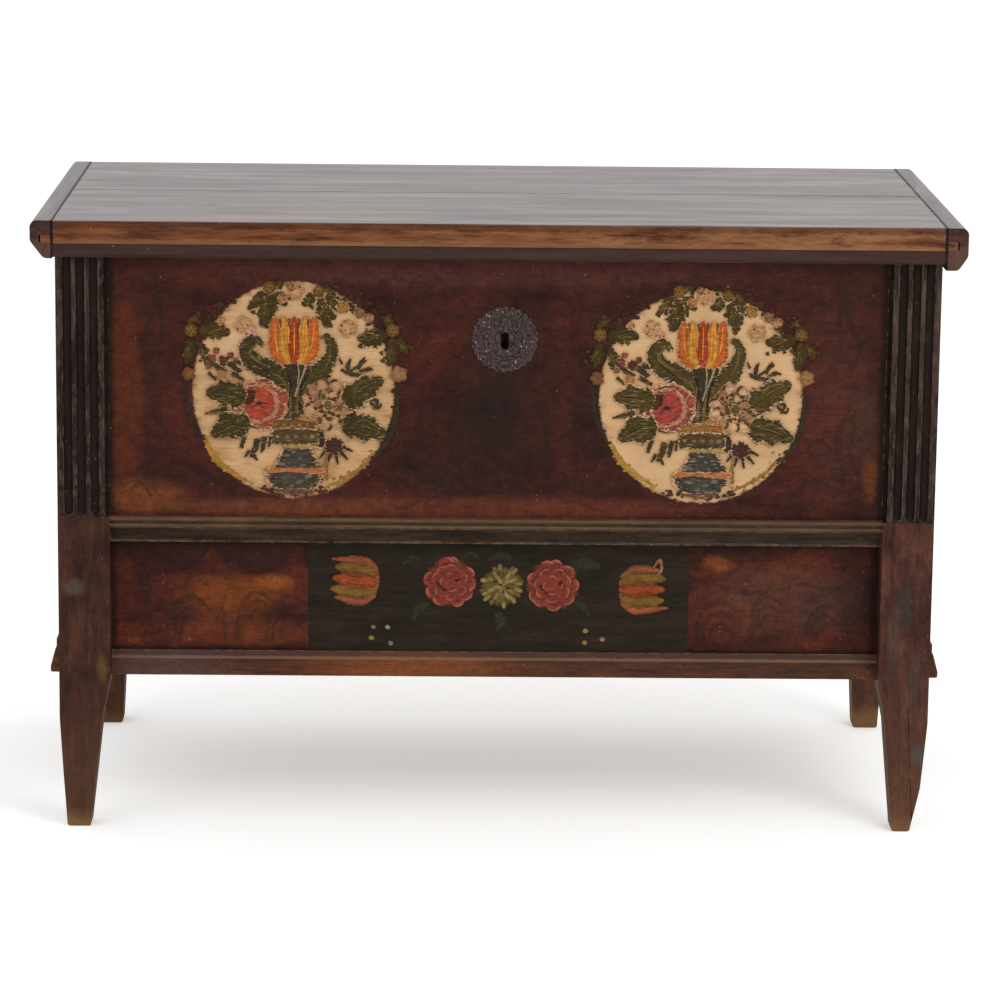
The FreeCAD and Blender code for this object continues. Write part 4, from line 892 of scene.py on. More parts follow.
class BrushWork:
    """Strokes of old paint on one upright board, joined into one mesh.

    Each stroke is a thin closed film that reaches into the board, and a later stroke
    stands a little higher than an earlier one. The alpha of its colour says how well the
    paint covers there.
    """

    # Places across a stroke or out from a dab's middle, as shares, with the cover there.
    profile: tuple[Point, ...] = (
        (-1.0, 0.0), (-0.72, 0.75), (-0.3, 1.0), (0.3, 1.0), (0.72, 0.75), (1.0, 0.0))
    rings: tuple[Point, ...] = ((0.35, 1.0), (0.74, 0.9), (1.0, 0.0))
    # Millimetres: rise from one stroke to the next, depth in the board, height of a dome.
    layer: float = 0.004
    root: float = 0.05
    dome: float = 0.08
    # How far a stroke's tone and width vary, and how narrow a tooth is and how much grows.
    tones: Point = (0.88, 1.12)
    unsteady: Point = (0.95, 1.06)
    tooth: Point = (0.72, 0.40)
    # Cover at a stroke's very ends, and how fast it grows from there.
    fading: Point = (0.25, 6.0)

    def __init__(self, name: str, middle: Point, face: float, seed: int,
                 lift: float = 0.06) -> None:
        """Start a drawing.

        Args:
            name: name of the piece.
            middle: where the drawing's middle lies, across and up, in millimetres.
            face: how far back the board's face lies, in millimetres.
            seed: start of the hand's small irregularities.
            lift: height of the first stroke over the board, in millimetres.
        """
        self.name = name
        self.middle = middle
        self.face = face
        self.lift = lift
        self.hand = random.Random(seed)
        self.corners: list[Place] = []
        self.tints: list[list[float]] = []
        self.faces: list[tuple[int, ...]] = []
        self.set_out((0.0, 0.0))

    def set_out(self, shift: Point, turn: float = 0.0, mirror: bool = False) -> None:
        """Move, turn and mirror what is drawn from here on.

        Args:
            shift: across and up from the drawing's middle, in millimetres.
            turn: degrees against the clock.
            mirror: whether left and right change places first.
        """
        self.shift, self.turn = shift, math.radians(turn)
        self.side = -1.0 if mirror else 1.0

    def corner(self, place: Vector, height: float, tint: list[float]) -> int:
        """Add one corner of the film.

        Args:
            place: across and up in the drawing.
            height: height over the board, in millimetres.
            tint: its linear colour and cover.

        Returns:
            The corner's number.
        """
        c, s = math.cos(self.turn), math.sin(self.turn)
        across = place[0] * self.side
        x = self.middle[0] + self.shift[0] + across * c - place[1] * s
        z = self.middle[1] + self.shift[1] + across * s + place[1] * c
        self.corners.append((x * MM, (self.face - height) * MM, z * MM))
        self.tints.append(tint)
        return len(self.corners) - 1

    def stroke(self, spine: Sequence[Point], widths: Sequence[float], edge: str,
               middle: str, teeth: int = 0) -> None:
        """Paint one stroke, leaf or petal.

        Args:
            spine: points along its middle, in millimetres.
            widths: widths, evenly spaced along it.
            edge: colour of its edges.
            middle: colour of its middle.
            teeth: how many teeth each edge has.
        """
        line = flow(spine, 10 if teeth else 5)
        tone = self.hand.uniform(*self.tones)
        end_cover, growth = self.fading
        rows = []
        for index, place in enumerate(line):
            share = index / (len(line) - 1)
            ahead = line[min(index + 1, len(line) - 1)] - line[max(index - 1, 0)]
            side = Vector((-ahead.y, ahead.x)).normalized()
            half = blend_at(widths, share) / 2 * self.hand.uniform(*self.unsteady)
            if teeth:
                half *= self.tooth[0] + self.tooth[1] * (share * teeth % 1.0)
            ends = min(1.0, end_cover + growth * min(share, 1 - share))
            row = [self.corner(place + side * half * across,
                               self.lift + self.dome * (1 - across * across),
                               tinted(edge, middle, 1 - across * across, tone,
                                      min(cover, ends)))
                   for across, cover in self.profile]
            row += [self.corner(place + side * half * across, -self.root,
                                tinted(edge, middle, 0.0, tone, 0.0))
                    for across in (1.0, -1.0)]
            rows.append(row)
        around = len(rows[0])
        for near_row, far_row in zip(rows, rows[1:]):
            for k in range(around):
                n = (k + 1) % around
                self.faces.append((near_row[k], near_row[n], far_row[n], far_row[k]))
        self.faces.append(tuple(reversed(rows[0])))
        self.faces.append(tuple(rows[-1]))
        self.lift += self.layer

    def strokes(self, edge: str, middle: str, *lines: tuple[Sequence[Point],
                                                            Sequence[float]]) -> None:
        """Paint several strokes in one colour, each a spine and its widths."""
        for spine, widths in lines:
            self.stroke(spine, widths, edge, middle)

    def dab(self, centre: Point, radii: Point, edge: str, middle: str, lobes: int = 0,
            depth: float = 0.12, turn: float = 0.0, rise: float = dome,
            segments: int = 16, wobble: float = 0.06) -> None:
        """Paint a round dab.

        Args:
            centre: its middle, in millimetres.
            radii: its size across and up.
            edge: colour of its rim.
            middle: colour of its middle.
            lobes: how many lobes its rim has.
            depth: how deep the notches between the lobes are, as a share of the radius.
            turn: degrees by which it is turned.
            rise: height of its dome.
            segments: corners of its rim, where it has no lobes.
            wobble: how uneven its rim is, as a share of the radius.
        """
        count = lobes * 5 if lobes else segments
        tone = self.hand.uniform(*self.tones)
        across, up = unit(turn), unit(turn + 90)
        reach = [1 + self.hand.uniform(-wobble, wobble)
                 - (depth * (1 - abs(math.sin(lobes * math.pi * k / count))) if lobes else 0)
                 for k in range(count)]
        rings = []
        for share, cover in self.rings:
            tint = tinted(edge, middle, 1 - share ** 3, tone, cover)
            ring = []
            for k in range(count):
                x, z = unit(360 * k / count)
                arm = across * x * radii[0] + up * z * radii[1]
                ring.append(self.corner(Vector(centre) + arm * share * reach[k],
                                        self.lift + rise * (1 - share ** 2), tint))
            rings.append(ring)
        hub = self.corner(Vector(centre), self.lift + rise,
                          tinted(edge, middle, 1.0, tone, 1.0))
        foot = []
        for k in rings[-1]:
            x, _, z = self.corners[k]
            self.corners.append((x, (self.face + self.root) * MM, z))
            self.tints.append(self.tints[k])
            foot.append(len(self.corners) - 1)
        rings.append(foot)
        for k in range(count):
            n = (k + 1) % count
            self.faces.append((hub, rings[0][k], rings[0][n]))
            for inner, outer in zip(rings, rings[1:]):
                self.faces.append((inner[k], outer[k], outer[n], inner[n]))
        self.faces.append(tuple(reversed(foot)))
        self.lift += self.layer

    def stipple(self, spine: Sequence[Point], spread: float, count: int, size: float,
                edge: str, middle: str) -> None:
        """Dab a nearly dry brush along a line.

        Args:
            spine: points along the line.
            spread: how far the dabs stray from it, in millimetres.
            count: how many dabs there are.
            size: their largest size.
            edge: colour of their rims.
            middle: colour of their middles.
        """
        line = flow(spine, 12)
        for _ in range(count):
            off = Vector((self.hand.gauss(0, spread), self.hand.gauss(0, spread)))
            high = size * self.hand.uniform(0.4, 1.0)
            self.dab(self.hand.choice(line) + off, (high * 1.5, high), edge, middle,
                     segments=7, wobble=0.25)

    def finish(self, material: Material) -> bpy.types.Object:
        """Make the piece and let it ride on the carcass.

        Args:
            material: its finish.

        Returns:
            The finished piece.
        """
        mesh = bpy.data.meshes.new(self.name)
        mesh.from_pydata(self.corners, [], self.faces)
        paint = mesh.color_attributes.new("paint", "FLOAT_COLOR", "POINT")
        paint.data.foreach_set("color", [part for tint in self.tints for part in tint])
        work = bmesh.new()
        work.from_mesh(mesh)
        bmesh.ops.recalc_face_normals(work, faces=work.faces)
        work.to_mesh(mesh)
        work.free()
        mesh.materials.append(material)
        mesh.shade_flat()
        piece = put(self.name, mesh)
        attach(piece, "carcass")
        log.info("painted %s, %d faces", self.name, len(self.faces))
        return piece


@dataclass(frozen=True)
class Palette:
    """Colours of one bunch of flowers, as old varnish leaves them."""

    leaf: str = "#3E3313"
    leaf_edge: str = "#241D0A"
    leaf_light: str = "#5A4D26"
    dull_leaf: str = "#40300C"
    button: str = "#72501F"
    rose: str = "#92402E"
    rose_edge: str = "#5E281A"
    rose_heart: str = "#401A12"
    rose_pale: str = "#A8765E"
    rose_bright: str = "#AC4028"
    petal: str = "#B0855D"
    petal_edge: str = "#452812"
    vase: str = "#403A30"
    vase_edge: str = "#241C16"
    scroll: str = "#6E4822"


class Bloom:
    """Round flowers that a country painter builds from a few kinds of stroke.

    Inside a flower, places, widths and radii are shares of its own radius.
    """

    def __init__(self, work: BrushWork, centre: Point, size: float) -> None:
        """Place a flower.

        Args:
            work: the drawing.
            centre: its middle, in millimetres.
            size: its radius in millimetres.
        """
        self.work = work
        self.centre = Vector(centre)
        self.size = size
        self.draw = work.hand.uniform

    def petal(self, spine: Sequence[Point], widths: Sequence[float], edge: str,
              tint: str) -> None:
        """Paint one stroke of the flower.

        Args:
            spine: places along its middle.
            widths: widths, evenly spaced along it.
            edge: colour of its edges.
            tint: colour of its middle.
        """
        self.work.stroke([self.centre + Vector(place) * self.size for place in spine],
                         [wide * self.size for wide in widths], edge, tint)

    def spot(self, place: Point, radii: Point, edge: str, tint: str, **rim: float) -> None:
        """Paint one dab of the flower.

        Args:
            place: its middle.
            radii: its size across and up.
            edge: colour of its rim.
            tint: colour of its middle.
            **rim: how its rim runs, as for a dab.
        """
        self.work.dab(self.centre + Vector(place) * self.size,
                      [reach * self.size for reach in radii], edge, tint, **rim)

    def arc(self, middle: Point, radius: float, start: float, stop: float, width: float,
            edge: str, tint: str) -> None:
        """Paint a crescent.

        Args:
            middle: middle of its curve.
            radius: radius of its curve.
            start: angle at which it starts, in degrees.
            stop: angle at which it ends.
            width: its greatest width.
            edge: colour of its edges.
            tint: colour of its middle.
        """
        spine = [Vector(middle) + unit(start + (stop - start) * k / 4) * radius
                 for k in range(5)]
        self.petal(spine, (width * 0.2, width, width * 0.9, width * 0.2), edge, tint)

    def rose(self, c: Palette) -> None:
        """Full red rose, its heart turned to the upper left, petals folded below it."""
        self.spot((0, 0), (1, 1), c.rose_edge, c.rose, lobes=7, depth=0.07)
        for k in range(14):
            start = 360 / 14 * k + self.draw(-12, 12)
            self.arc((0, 0), self.draw(0.78, 0.95), start, start + self.draw(18, 40), 0.09,
                     *((c.rose, c.rose_pale) if k % 3 else (c.rose_heart, c.rose_edge)))
        for place, radii, tint in (
            ((0.80, 0.24), (0.20, 0.28), c.rose), ((-0.06, 0.02), (0.70, 0.76), c.rose),
            ((-0.42, 0.24), (0.34, 0.46), c.rose_heart),
            ((0.24, 0.04), (0.26, 0.34), c.rose_bright),
            ((0.06, 0.44), (0.32, 0.28), c.rose_bright),
            ((-0.18, -0.38), (0.44, 0.25), c.rose_bright),
            ((-0.10, 0.02), (0.28, 0.12), c.rose_heart),
        ):
            self.spot(place, radii, c.rose_edge, tint, lobes=5, depth=0.06)
        for middle, radius, start, stop, wide, edge, tint in (
            ((-0.12, 0.0), 0.68, -80, 72, 0.19, c.rose, c.rose_pale),
            ((-0.16, -0.28), 0.44, 195, 335, 0.09, c.rose_edge, c.rose_pale),
            ((0.04, 0.42), 0.34, 30, 150, 0.07, c.rose, c.rose_pale),
            ((0.10, 0.32), 0.30, 200, 320, 0.08, c.rose_heart, c.rose_edge),
            ((-0.14, -0.30), 0.26, 20, 160, 0.08, c.rose_heart, c.rose_edge),
            ((-0.40, 0.22), 0.36, 70, 240, 0.10, c.rose_edge, c.rose),
        ):
            self.arc(middle, radius, start, stop, wide, edge, tint)
        self.spot((-0.66, 0.30), (0.07, 0.07), c.rose_edge, c.rose_pale, segments=8)

    def open_rose(self, c: Palette) -> None:
        """Open rose of many thin scalloped petals round a small dark heart."""
        self.spot((0, 0), (1, 1), c.rose_edge, c.rose, lobes=7, depth=0.06, wobble=0.07)
        for reach, radius, count, wide in ((0.64, 0.32, 9, 0.12), (0.40, 0.28, 7, 0.10),
                                           (0.16, 0.20, 4, 0.09)):
            for k in range(count):
                angle = 360 / count * k + reach * 60 + self.draw(-16, 16)
                middle = unit(angle) * reach
                start = angle - self.draw(30, 85)
                self.arc(middle, radius * 0.82, angle - 80, angle + 80, 0.24, c.rose_edge,
                         c.rose)
                self.arc(middle, radius, start, start + self.draw(70, 120), wide, c.rose,
                         c.rose_pale)
        for place in ((-0.34, -0.16), (-0.22, -0.28), (-0.44, -0.05), (0.30, 0.10)):
            self.spot(place, (0.10, 0.08), c.rose_heart, c.rose_heart, segments=8)

    def daisy(self, c: Palette) -> None:
        """Flower of many short strokes that all point outwards."""
        self.spot((0, 0), (0.92, 0.92), c.rose_edge, c.rose, lobes=9, depth=0.12,
                  wobble=0.08)
        for reach, count in ((0.74, 17), (0.48, 12), (0.24, 7)):
            for k in range(count):
                way = unit(360 * k / count + self.draw(-14.32, 14.32))
                away = reach * self.draw(0.92, 1.08)
                self.petal([way * (away - 0.2), way * (away + 0.2)], (0.10, 0.26, 0.13),
                           c.rose_edge, c.rose_pale if k % 3 else c.rose)
        for place in ((-0.06, 0.04), (0.22, -0.12), (-0.28, 0.18)):
            self.spot(place, (0.12, 0.08), c.rose_heart, c.rose_heart, segments=8)

    def blossom(self, petal: str, tick: str, heart: str) -> None:
        """Pale double blossom, its petals edged with short brown curves.

        Args:
            petal: colour of the petals.
            tick: colour of the ticks between and on them.
            heart: colour of its middle.
        """
        between, shaded = "#6E4E32", "#96684A"
        self.spot((0, 0), (0.9, 0.9), tick, between, lobes=9, depth=0.1)
        for reach, count, radius in ((0.74, 11, 0.25), (0.40, 7, 0.20)):
            for k in range(count):
                angle = 360 / count * k + reach * 50 + self.draw(-9, 9)
                middle = unit(angle) * reach * self.draw(0.9, 1.1)
                wide = radius * self.draw(0.85, 1.15)
                self.spot(middle, (wide, wide * 0.85), between, petal if k % 3 else shaded,
                          turn=angle, wobble=0.16)
                start = angle + self.work.hand.choice((-120, 10, 60)) + self.draw(-20, 20)
                self.arc(middle, radius * 0.86, start, start + self.draw(60, 130), 0.15,
                         between, tick)
        for _ in range(24):
            place = unit(self.draw(0, 360)) * self.draw(0.2, 0.85)
            wide = self.draw(0.07, 0.16)
            self.spot(place, (wide, wide * 0.7), between, tick, lobes=3, depth=0.3)
        self.spot((0, 0), (0.19, 0.23), tick, heart, lobes=5, depth=0.2)
        self.spot((-0.18, 0.34), (0.12, 0.14), tick, heart, segments=8)

    def tulip(self, outer: str, bright: str, flame: str, line: str) -> None:
        """Striped tulip that opens upwards, its petals pointed.

        Args:
            outer: colour of the outer petals.
            bright: colour of the stripes inside them.
            flame: colour of the middle petal.
            line: colour of the thin lines between petals.
        """
        self.spot((0, -0.5), (0.86, 0.52), line, flame)
        self.petal([(0, -0.7), (0, 0.1), (0, 0.62)], (1.2, 1.8, 1.7), outer, bright)
        for x, tint in ((-0.82, outer), (0.82, outer), (-0.44, bright), (0.44, bright),
                        (0.0, flame)):
            self.petal([(x * 0.42, -0.95), (x * 0.95, -0.5), (x, 0.1), (x * 1.02, 0.66),
                        (x * 1.06, 1.06)], (0.26, 0.52, 0.52, 0.44, 0.10), line, tint)
            self.petal([(x * 0.8, -0.6), (x * 0.97, 0.1), (x, 0.8)], (0.07, 0.17, 0.05),
                       tint, outer if tint == bright else bright)
            self.petal([(x * 0.6 + 0.1, -0.7), (x * 0.9 + 0.12, 0.0)], (0.04, 0.10, 0.03),
                       line, flame)
        for x in (-0.6, -0.2, 0.2, 0.6):
            self.petal([(x * 0.95, 0.55), (x, 0.98)], (0.04, 0.12), line, line)

    def cup(self, petal: str, middle: str, rim: str, line: str) -> None:
        """Small tulip in a round cup, its petals side by side.

        Args:
            petal: colour of the petals.
            middle: colour of the middle petal.
            rim: colour of the two outermost ones.
            line: colour of the lines between them.
        """
        self.spot((0, -0.25), (0.98, 0.70), rim, rim, wobble=0.03)
        self.spot((0, -0.04), (0.86, 0.74), line, petal, wobble=0.03)
        for x, tip, wide, tint in ((-0.84, 0.80, 0.32, rim), (0.84, 1.08, 0.32, rim),
                                   (-0.48, 1.0, 0.62, petal), (0.50, 0.90, 0.62, petal),
                                   (0.0, 0.96, 0.60, middle)):
            self.petal([(x * 0.62, -0.84), (x * 1.02, -0.3), (x * 0.98, 0.3),
                        (x * 0.92, tip)],
                       [wide * share for share in (0.5, 1.0, 1.05, 0.9, 0.2)], line, tint)
            for side in (-0.16, 0.14):
                self.petal([(x + side, -0.4), (x + side, tip * 0.4)], (0.05, 0.09, 0.03),
                           tint, line)


@dataclass
class Medallion:
    """Cream disc with a vase of flowers, as country painters did them.

    Sizes are millimetres from the disc's middle.
    """

    name: str
    middle: Point
    radii: Point
    seed: int
    face: float = PANEL_FACE
    rise: float = 0.0
    colours: Palette = Palette()

    def build(self, ground: Material, flowers: Material) -> None:
        """Paint the disc and the flowers on it.

        Args:
            ground: finish of the disc.
            flowers: finish of the strokes.
        """
        disc = BrushWork(f"{self.name}_disc", self.middle, self.face, self.seed, 0.03)
        disc.dab((0, 0), (self.radii[0] * 1.05, self.radii[1] * 1.05), "#FFFFFF", "#FFFFFF",
                 segments=120, wobble=0.0, rise=0.02)
        disc.finish(ground)
        work = BrushWork(f"{self.name}_flowers", self.middle, self.face, self.seed + 1)
        work.set_out((0.0, self.rise))
        for paint in (self.rims, self.sprays, self.sprigs, self.stems, self.flowers,
                      self.side_leaves, self.vase):
            paint(work)
        work.finish(flowers)

    def rims(self, work: BrushWork) -> None:
        """Shadows round the disc, ochre below and dark green at the sides, and worn rims."""
        for line, wide, edge, middle in (
            ([(-115, -60), (-103, -85), (-85, -103), (-57, -120)], 9, "#7E5A1C", "#A0762A"),
            ([(101, -82), (86, -100), (65, -115), (38, -127)], 5, "#6A4A1C", "#8E6828"),
            ([(-138, 12), (-137, -13), (-131, -39), (-117, -65)], 7, "#1E160E", "#30261A"),
            ([(131, 6), (132, -20), (126, -52), (113, -76), (102, -88)], 8, "#1E160E",
             "#352A1A"),
        ):
            work.stroke(line, (2, wide, wide, 2), edge, middle)
            work.stipple(line, 2.8, 40, 2.3, edge, middle)
        for line, spread, count in (
            ([(52, 124), (80, 110), (104, 88)], 6.0, 60),
            ([(-112, 88), (-94, 104), (-72, 116)], 4.5, 26),
            ([(-40, -128), (0, -134), (40, -129)], 2.6, 40),
        ):
            work.stipple(line, spread, count, 3.2, "#34190F", "#40241A")

    def sprays(self, work: BrushWork) -> None:
        """Four sprays of toothed leaves with a button, and small flowers between."""
        c = self.colours
        for button, leaves in (
            ((-130, 76), (((-120, 73), (-80, 73), 30), ((-132, 66), (-137, 32), 20),
                          ((-119, 60), (-110, 30), 15), ((-134, 84), (-118, 96), 12))),
            ((-30, 132), (((-33, 125), (-40, 80), 32), ((-27, 125), (-9, 108), 20),
                          ((-39, 127), (-58, 103), 17), ((-30, 134), (-12, 136), 10))),
            ((32, 127), (((34, 120), (42, 80), 28), ((26, 125), (11, 109), 20),
                         ((40, 122), (57, 102), 18), ((36, 132), (52, 122), 10))),
            ((126, 78), (((119, 72), (80, 69), 30), ((125, 68), (120, 31), 22),
                         ((131, 66), (144, 48), 15), ((128, 86), (112, 96), 12))),
        ):
            for base, tip, width in leaves:
                start, stop = Vector(base), Vector(tip)
                side = (stop - start).orthogonal() * 0.08
                bend = start.lerp(stop, 0.5) + side
                work.stroke([start, bend, stop], (width * 0.35, width, width * 0.9, 3),
                            c.leaf_edge, c.dull_leaf, teeth=4)
                for turn in (-2.0, 0.0, 2.0):
                    work.stroke([start.lerp(stop, 0.3), start.lerp(stop, 0.75) + side * turn],
                                (1.4, 2.4, 1.0), c.dull_leaf, c.leaf_light)
                for _ in range(5):
                    share, off = work.hand.uniform(0.1, 1.0), work.hand.uniform(-0.6, 0.6)
                    spot = start.lerp(stop, share) + side.normalized() * off * width
                    fringe = work.hand.uniform(2.2, 4.2)
                    work.dab(spot, (fringe, fringe), c.leaf_edge, c.dull_leaf, lobes=3,
                             depth=0.3)
            work.dab(button, (9.5, 9.5), "#33260F", c.button, lobes=6, depth=0.1)
            for k in range(6):
                work.dab(Vector(button) + unit(60 * k) * 5, (1.6, 1.6), "#33260F", "#4A3412",
                         segments=8)
            work.dab(button, (2.8, 2.8), "#2A1D0C", "#5E4216", segments=10)
        for place, size, edge, middle in (
            ((-64, 84), 12, "#9A6C44", "#B48860"), ((-54, 75), 8, "#966A56", "#AE826E"),
            ((4, 126), 12, "#8A5A34", "#AC8058"), ((62, 107), 9, "#6A4820", "#8E6830"),
            ((70, 80), 13, "#8E6238", "#B08658"), ((-133, 20), 10, "#4A2A14", "#6E4626"),
            ((134, 22), 12, "#644024", "#8A6440"), ((-4, 134), 6, "#644024", "#8E6844"),
            ((-92, 88), 6, "#8E6238", "#A87C54"), ((96, 94), 7, "#80562E", "#9E7450"),
            ((84, 100), 8, "#4E3420", "#7A583C"), ((-14, 118), 7, "#6E4424", "#96683E"),
        ):
            work.dab(place, (size, size), edge, middle, lobes=5, depth=0.18)
            for _ in range(7):
                away = unit(work.hand.uniform(0, 360)) * work.hand.uniform(0.1, 0.85)
                work.dab(Vector(place) + away * size, (1.7, 1.7), "#6A3A1E", "#6E3C1C",
                         segments=7)

    def sprigs(self, work: BrushWork) -> None:
        """Thin sprigs of buds and grasses."""
        for place, size, edge, middle in (
            ((-104, 40), 8, "#4E2018", "#7A3A2C"), ((-87, 37), 9, "#2E1C14", "#4E2C20"),
            ((-91, 20), 8, "#744024", "#A06A44"), ((-98, 50), 5, "#522218", "#844232"),
            ((-108, 30), 5, "#42261A", "#6E442E"), ((-80, 44), 5, "#3E1C18", "#6A3028"),
            ((-96, 28), 4, "#42261A", "#6E442E"), ((-76, 32), 5, "#2A2012", "#42341A"),
        ):
            work.dab(place, (size, size), edge, middle, lobes=4, depth=0.25)
        work.strokes(
            "#241C0E", "#3C301A",
            ([(-112, 44), (-98, 30), (-84, 24)], (3, 6, 2)), ([(-108, 22), (-98, 12)], (6, 3)),
            ([(-84, 36), (-66, 22)], (9, 6)), ([(-76, 38), (-58, 32)], (8, 5)),
            ([(-80, 22), (-62, 12)], (8, 4)), ([(-100, 34), (-88, 26)], (4, 3)),
            ([(60, 27), (72, 22), (86, 20)], (4, 7, 4)),
            ([(66, 21), (80, 30), (93, 39)], (4, 4, 2)),
            ([(70, 22), (69, 32), (73, 42)], (3, 7, 2)),
            ([(82, 27), (86, 36), (91, 43)], (3, 7, 2)),
            ([(84, 24), (94, 28), (102, 27)], (3, 7, 2)), ([(62, 34), (58, 42)], (4, 2)),
            ([(76, -16), (92, -11), (107, -13), (102, -24)], (4, 5, 5, 3)),
            ([(96, -14), (108, -22), (112, -16)], (3, 6, 2)),
            ([(-62, -60), (-67, -76)], (7, 5)),
            ([(-45, -62), (-48, -74), (-54, -88)], (10, 9, 5)),
            ([(-36, -60), (-40, -82)], (9, 4)), ([(-56, -78), (-62, -88)], (6, 3)),
            ([(-52, -82), (-46, -92)], (7, 3)), ([(-30, -60), (-31, -74)], (5, 3)))
        work.stroke([(86, -17), (97, -18)], (4, 5), "#8E7C64", "#A89478")
        work.stroke([(42, -83), (42, -100), (43, -117)], (3, 4.5, 4), "#6A4820", "#7E5828")

    def stems(self, work: BrushWork) -> None:
        """Two curled leaves, the dark middle they leave from, and pale stems."""
        c = self.colours
        work.stroke([(4, 40), (4, 22), (1, 0), (-1, -28), (-2, -50)], (34, 42, 38, 34, 28),
                    "#241C12", "#382D1D")
        work.stroke([(-38, 55), (-48, 66), (-59, 57), (-57, 42), (-46, 32), (-27, 24),
                     (-10, 7), (-4, -20), (-5, -48)],
                    (6, 12, 20, 24, 27, 28, 25, 20, 15), c.leaf_edge, c.leaf)
        work.stroke([(35, 69), (43, 68), (49, 54), (45, 40), (37, 27), (27, 13), (17, 0),
                     (9, -16), (3, -42)],
                    (5, 11, 16, 21, 28, 31, 29, 24, 16), c.leaf_edge, c.leaf)
        work.strokes(
            c.leaf, c.leaf_light,
            ([(-48, 58), (-56, 48), (-46, 37), (-30, 30)], (2, 8, 8, 2)),
            ([(-34, 24), (-14, 14), (-6, -8)], (2, 6, 2)),
            ([(46, 60), (46, 42), (38, 26)], (2, 7, 2)),
            ([(30, 14), (19, 0), (10, -16)], (2, 6, 2)),
            ([(-6, 10), (-4, -20), (-4, -40)], (3, 7, 3)),
            ([(8, 4), (4, -20), (4, -42)], (2, 5, 2)))
        work.strokes(
            c.leaf_edge, "#1A140A",
            ([(-56, 42), (-40, 28), (-20, 16)], (1, 3, 1)),
            ([(-10, 26), (-4, 6), (-8, -30)], (2, 5, 2)),
            ([(22, 26), (10, 4), (8, -30)], (2, 5, 2)))
        work.strokes(
            "#6A5640", "#968264",
            ([(5, 38), (7, 22), (5, 8)], (2.4, 2.2, 1.6)),
            ([(18, 39), (12, 20), (6, 5), (2, -8)], (2.8, 2.6, 2.6, 3.4)))

    def flowers(self, work: BrushWork) -> None:
        """The tulip on top, the rose and the blossom below it, and what hangs from them."""
        c = self.colours
        Bloom(work, (1, 63), 30).tulip("#B4581E", "#C08830", "#9A3416", "#6E2408")
        Bloom(work, (-40, -18), 34).rose(c)
        Bloom(work, (44, -19), 34).blossom(c.petal, c.petal_edge, "#5A4E22")
        work.dab((22, -43), (10, 7.5), "#7A4A20", "#A06A2A", lobes=5, depth=0.2)
        work.dab((12, -36), (6, 5), "#7A4A20", "#96622A", lobes=5, depth=0.2)
        work.dab((34, -63), (7, 13), "#1E1510", "#36261E")
        work.dab((52, -72), (14, 13), "#241410", "#46241A", lobes=6, depth=0.2)
        work.strokes("#241410", "#3A241A", ([(48, -80), (44, -94)], (6, 2)),
                     ([(54, -82), (57, -96)], (6, 2)), ([(60, -79), (70, -90)], (6, 2)),
                     ([(62, -72), (76, -79)], (6, 2)), ([(40, -78), (34, -88)], (5, 2)))

    def side_leaves(self, work: BrushWork) -> None:
        """Pairs of broad leaves at the left and the right."""
        c = self.colours
        for spine, widths in (
            ([(-60, -12), (-84, -5), (-112, -4)], (20, 40, 34, 4)),
            ([(-56, -50), (-78, -45), (-105, -60)], (20, 42, 36, 4)),
            ([(-84, -24), (-98, -28), (-113, -31)], (10, 7, 2)),
            ([(64, -17), (89, 2), (115, 16)], (22, 40, 32, 4)),
            ([(62, -43), (88, -47), (120, -58)], (22, 42, 34, 4)),
        ):
            work.stroke(spine, widths, c.leaf_edge, c.leaf, teeth=3)
            start, middle, tip = (Vector(p) for p in spine)
            across = (tip - start).orthogonal().normalized() * blend_at(widths, 0.5)
            for side, tint in ((0.26, c.leaf_light), (-0.24, c.leaf), (0.05, c.leaf_light)):
                work.stroke([start.lerp(middle, 0.5), middle + across * side,
                             middle.lerp(tip, 0.65) + across * side * 0.5],
                            (1.5, 4, 1.5), c.leaf, tint)
            work.stroke([start, middle, middle.lerp(tip, 0.8)], (2.4, 2.0, 1.2),
                        c.leaf_edge, "#181208")

    def vase(self, work: BrushWork) -> None:
        """Footed vase with an orange band, and its ornamented collar."""
        c = self.colours
        work.stroke([(-27, -45), (0, -42), (30, -46)], (9, 11, 10), "#3E2418", c.scroll)
        for x in (-22, -12, -2, 8, 18):
            work.dab((x, -44), (4.4, 3.4), "#5E3A1E", "#8E602C", segments=10)
        work.stroke([(-28, -60), (2, -60), (33, -60)], (19, 23, 19), "#2E2210", "#4A3A1E")
        for x, edge, middle in ((-20, "#565020", "#7E7836"), (-8, "#4A3426", "#74543C"),
                                (3, "#523828", "#7C5A42"), (14, "#4A3426", "#6C523A"),
                                (24, "#4A4E24", "#6C6E3A")):
            work.dab((x, -60), (6, 5.5), edge, middle, segments=10)
        work.stroke([(-12, -72), (8, -73), (31, -73)], (4, 5, 4), "#7A6030", "#9A7E44")
        work.stroke([(5, -75), (5, -88), (5, -101)], (34, 50, 66), c.vase_edge, c.vase)
        work.stroke([(2, -106), (1, -117), (1, -128)], (76, 72, 46), c.vase_edge, c.vase)
        work.stroke([(-33, -104), (4, -104), (41, -104)], (8, 10, 8), "#8A6A34", "#A0583A")
        work.stroke([(-24, -130), (1, -132), (25, -130)], (4, 7, 4), "#42281C", "#5E4030")
        for x, z, half in ((-8, -84, 5.4), (8, -88, 4.8), (-14, -96, 7.2), (12, -97, 5.4),
                           (0, -80, 4.2), (-12, -113, 7.2), (8, -118, 6.0), (-2, -124, 4.8),
                           (18, -112, 4.8)):
            work.dab((x, z), (half, 3.0), c.vase, "#5C584C", wobble=0.2)


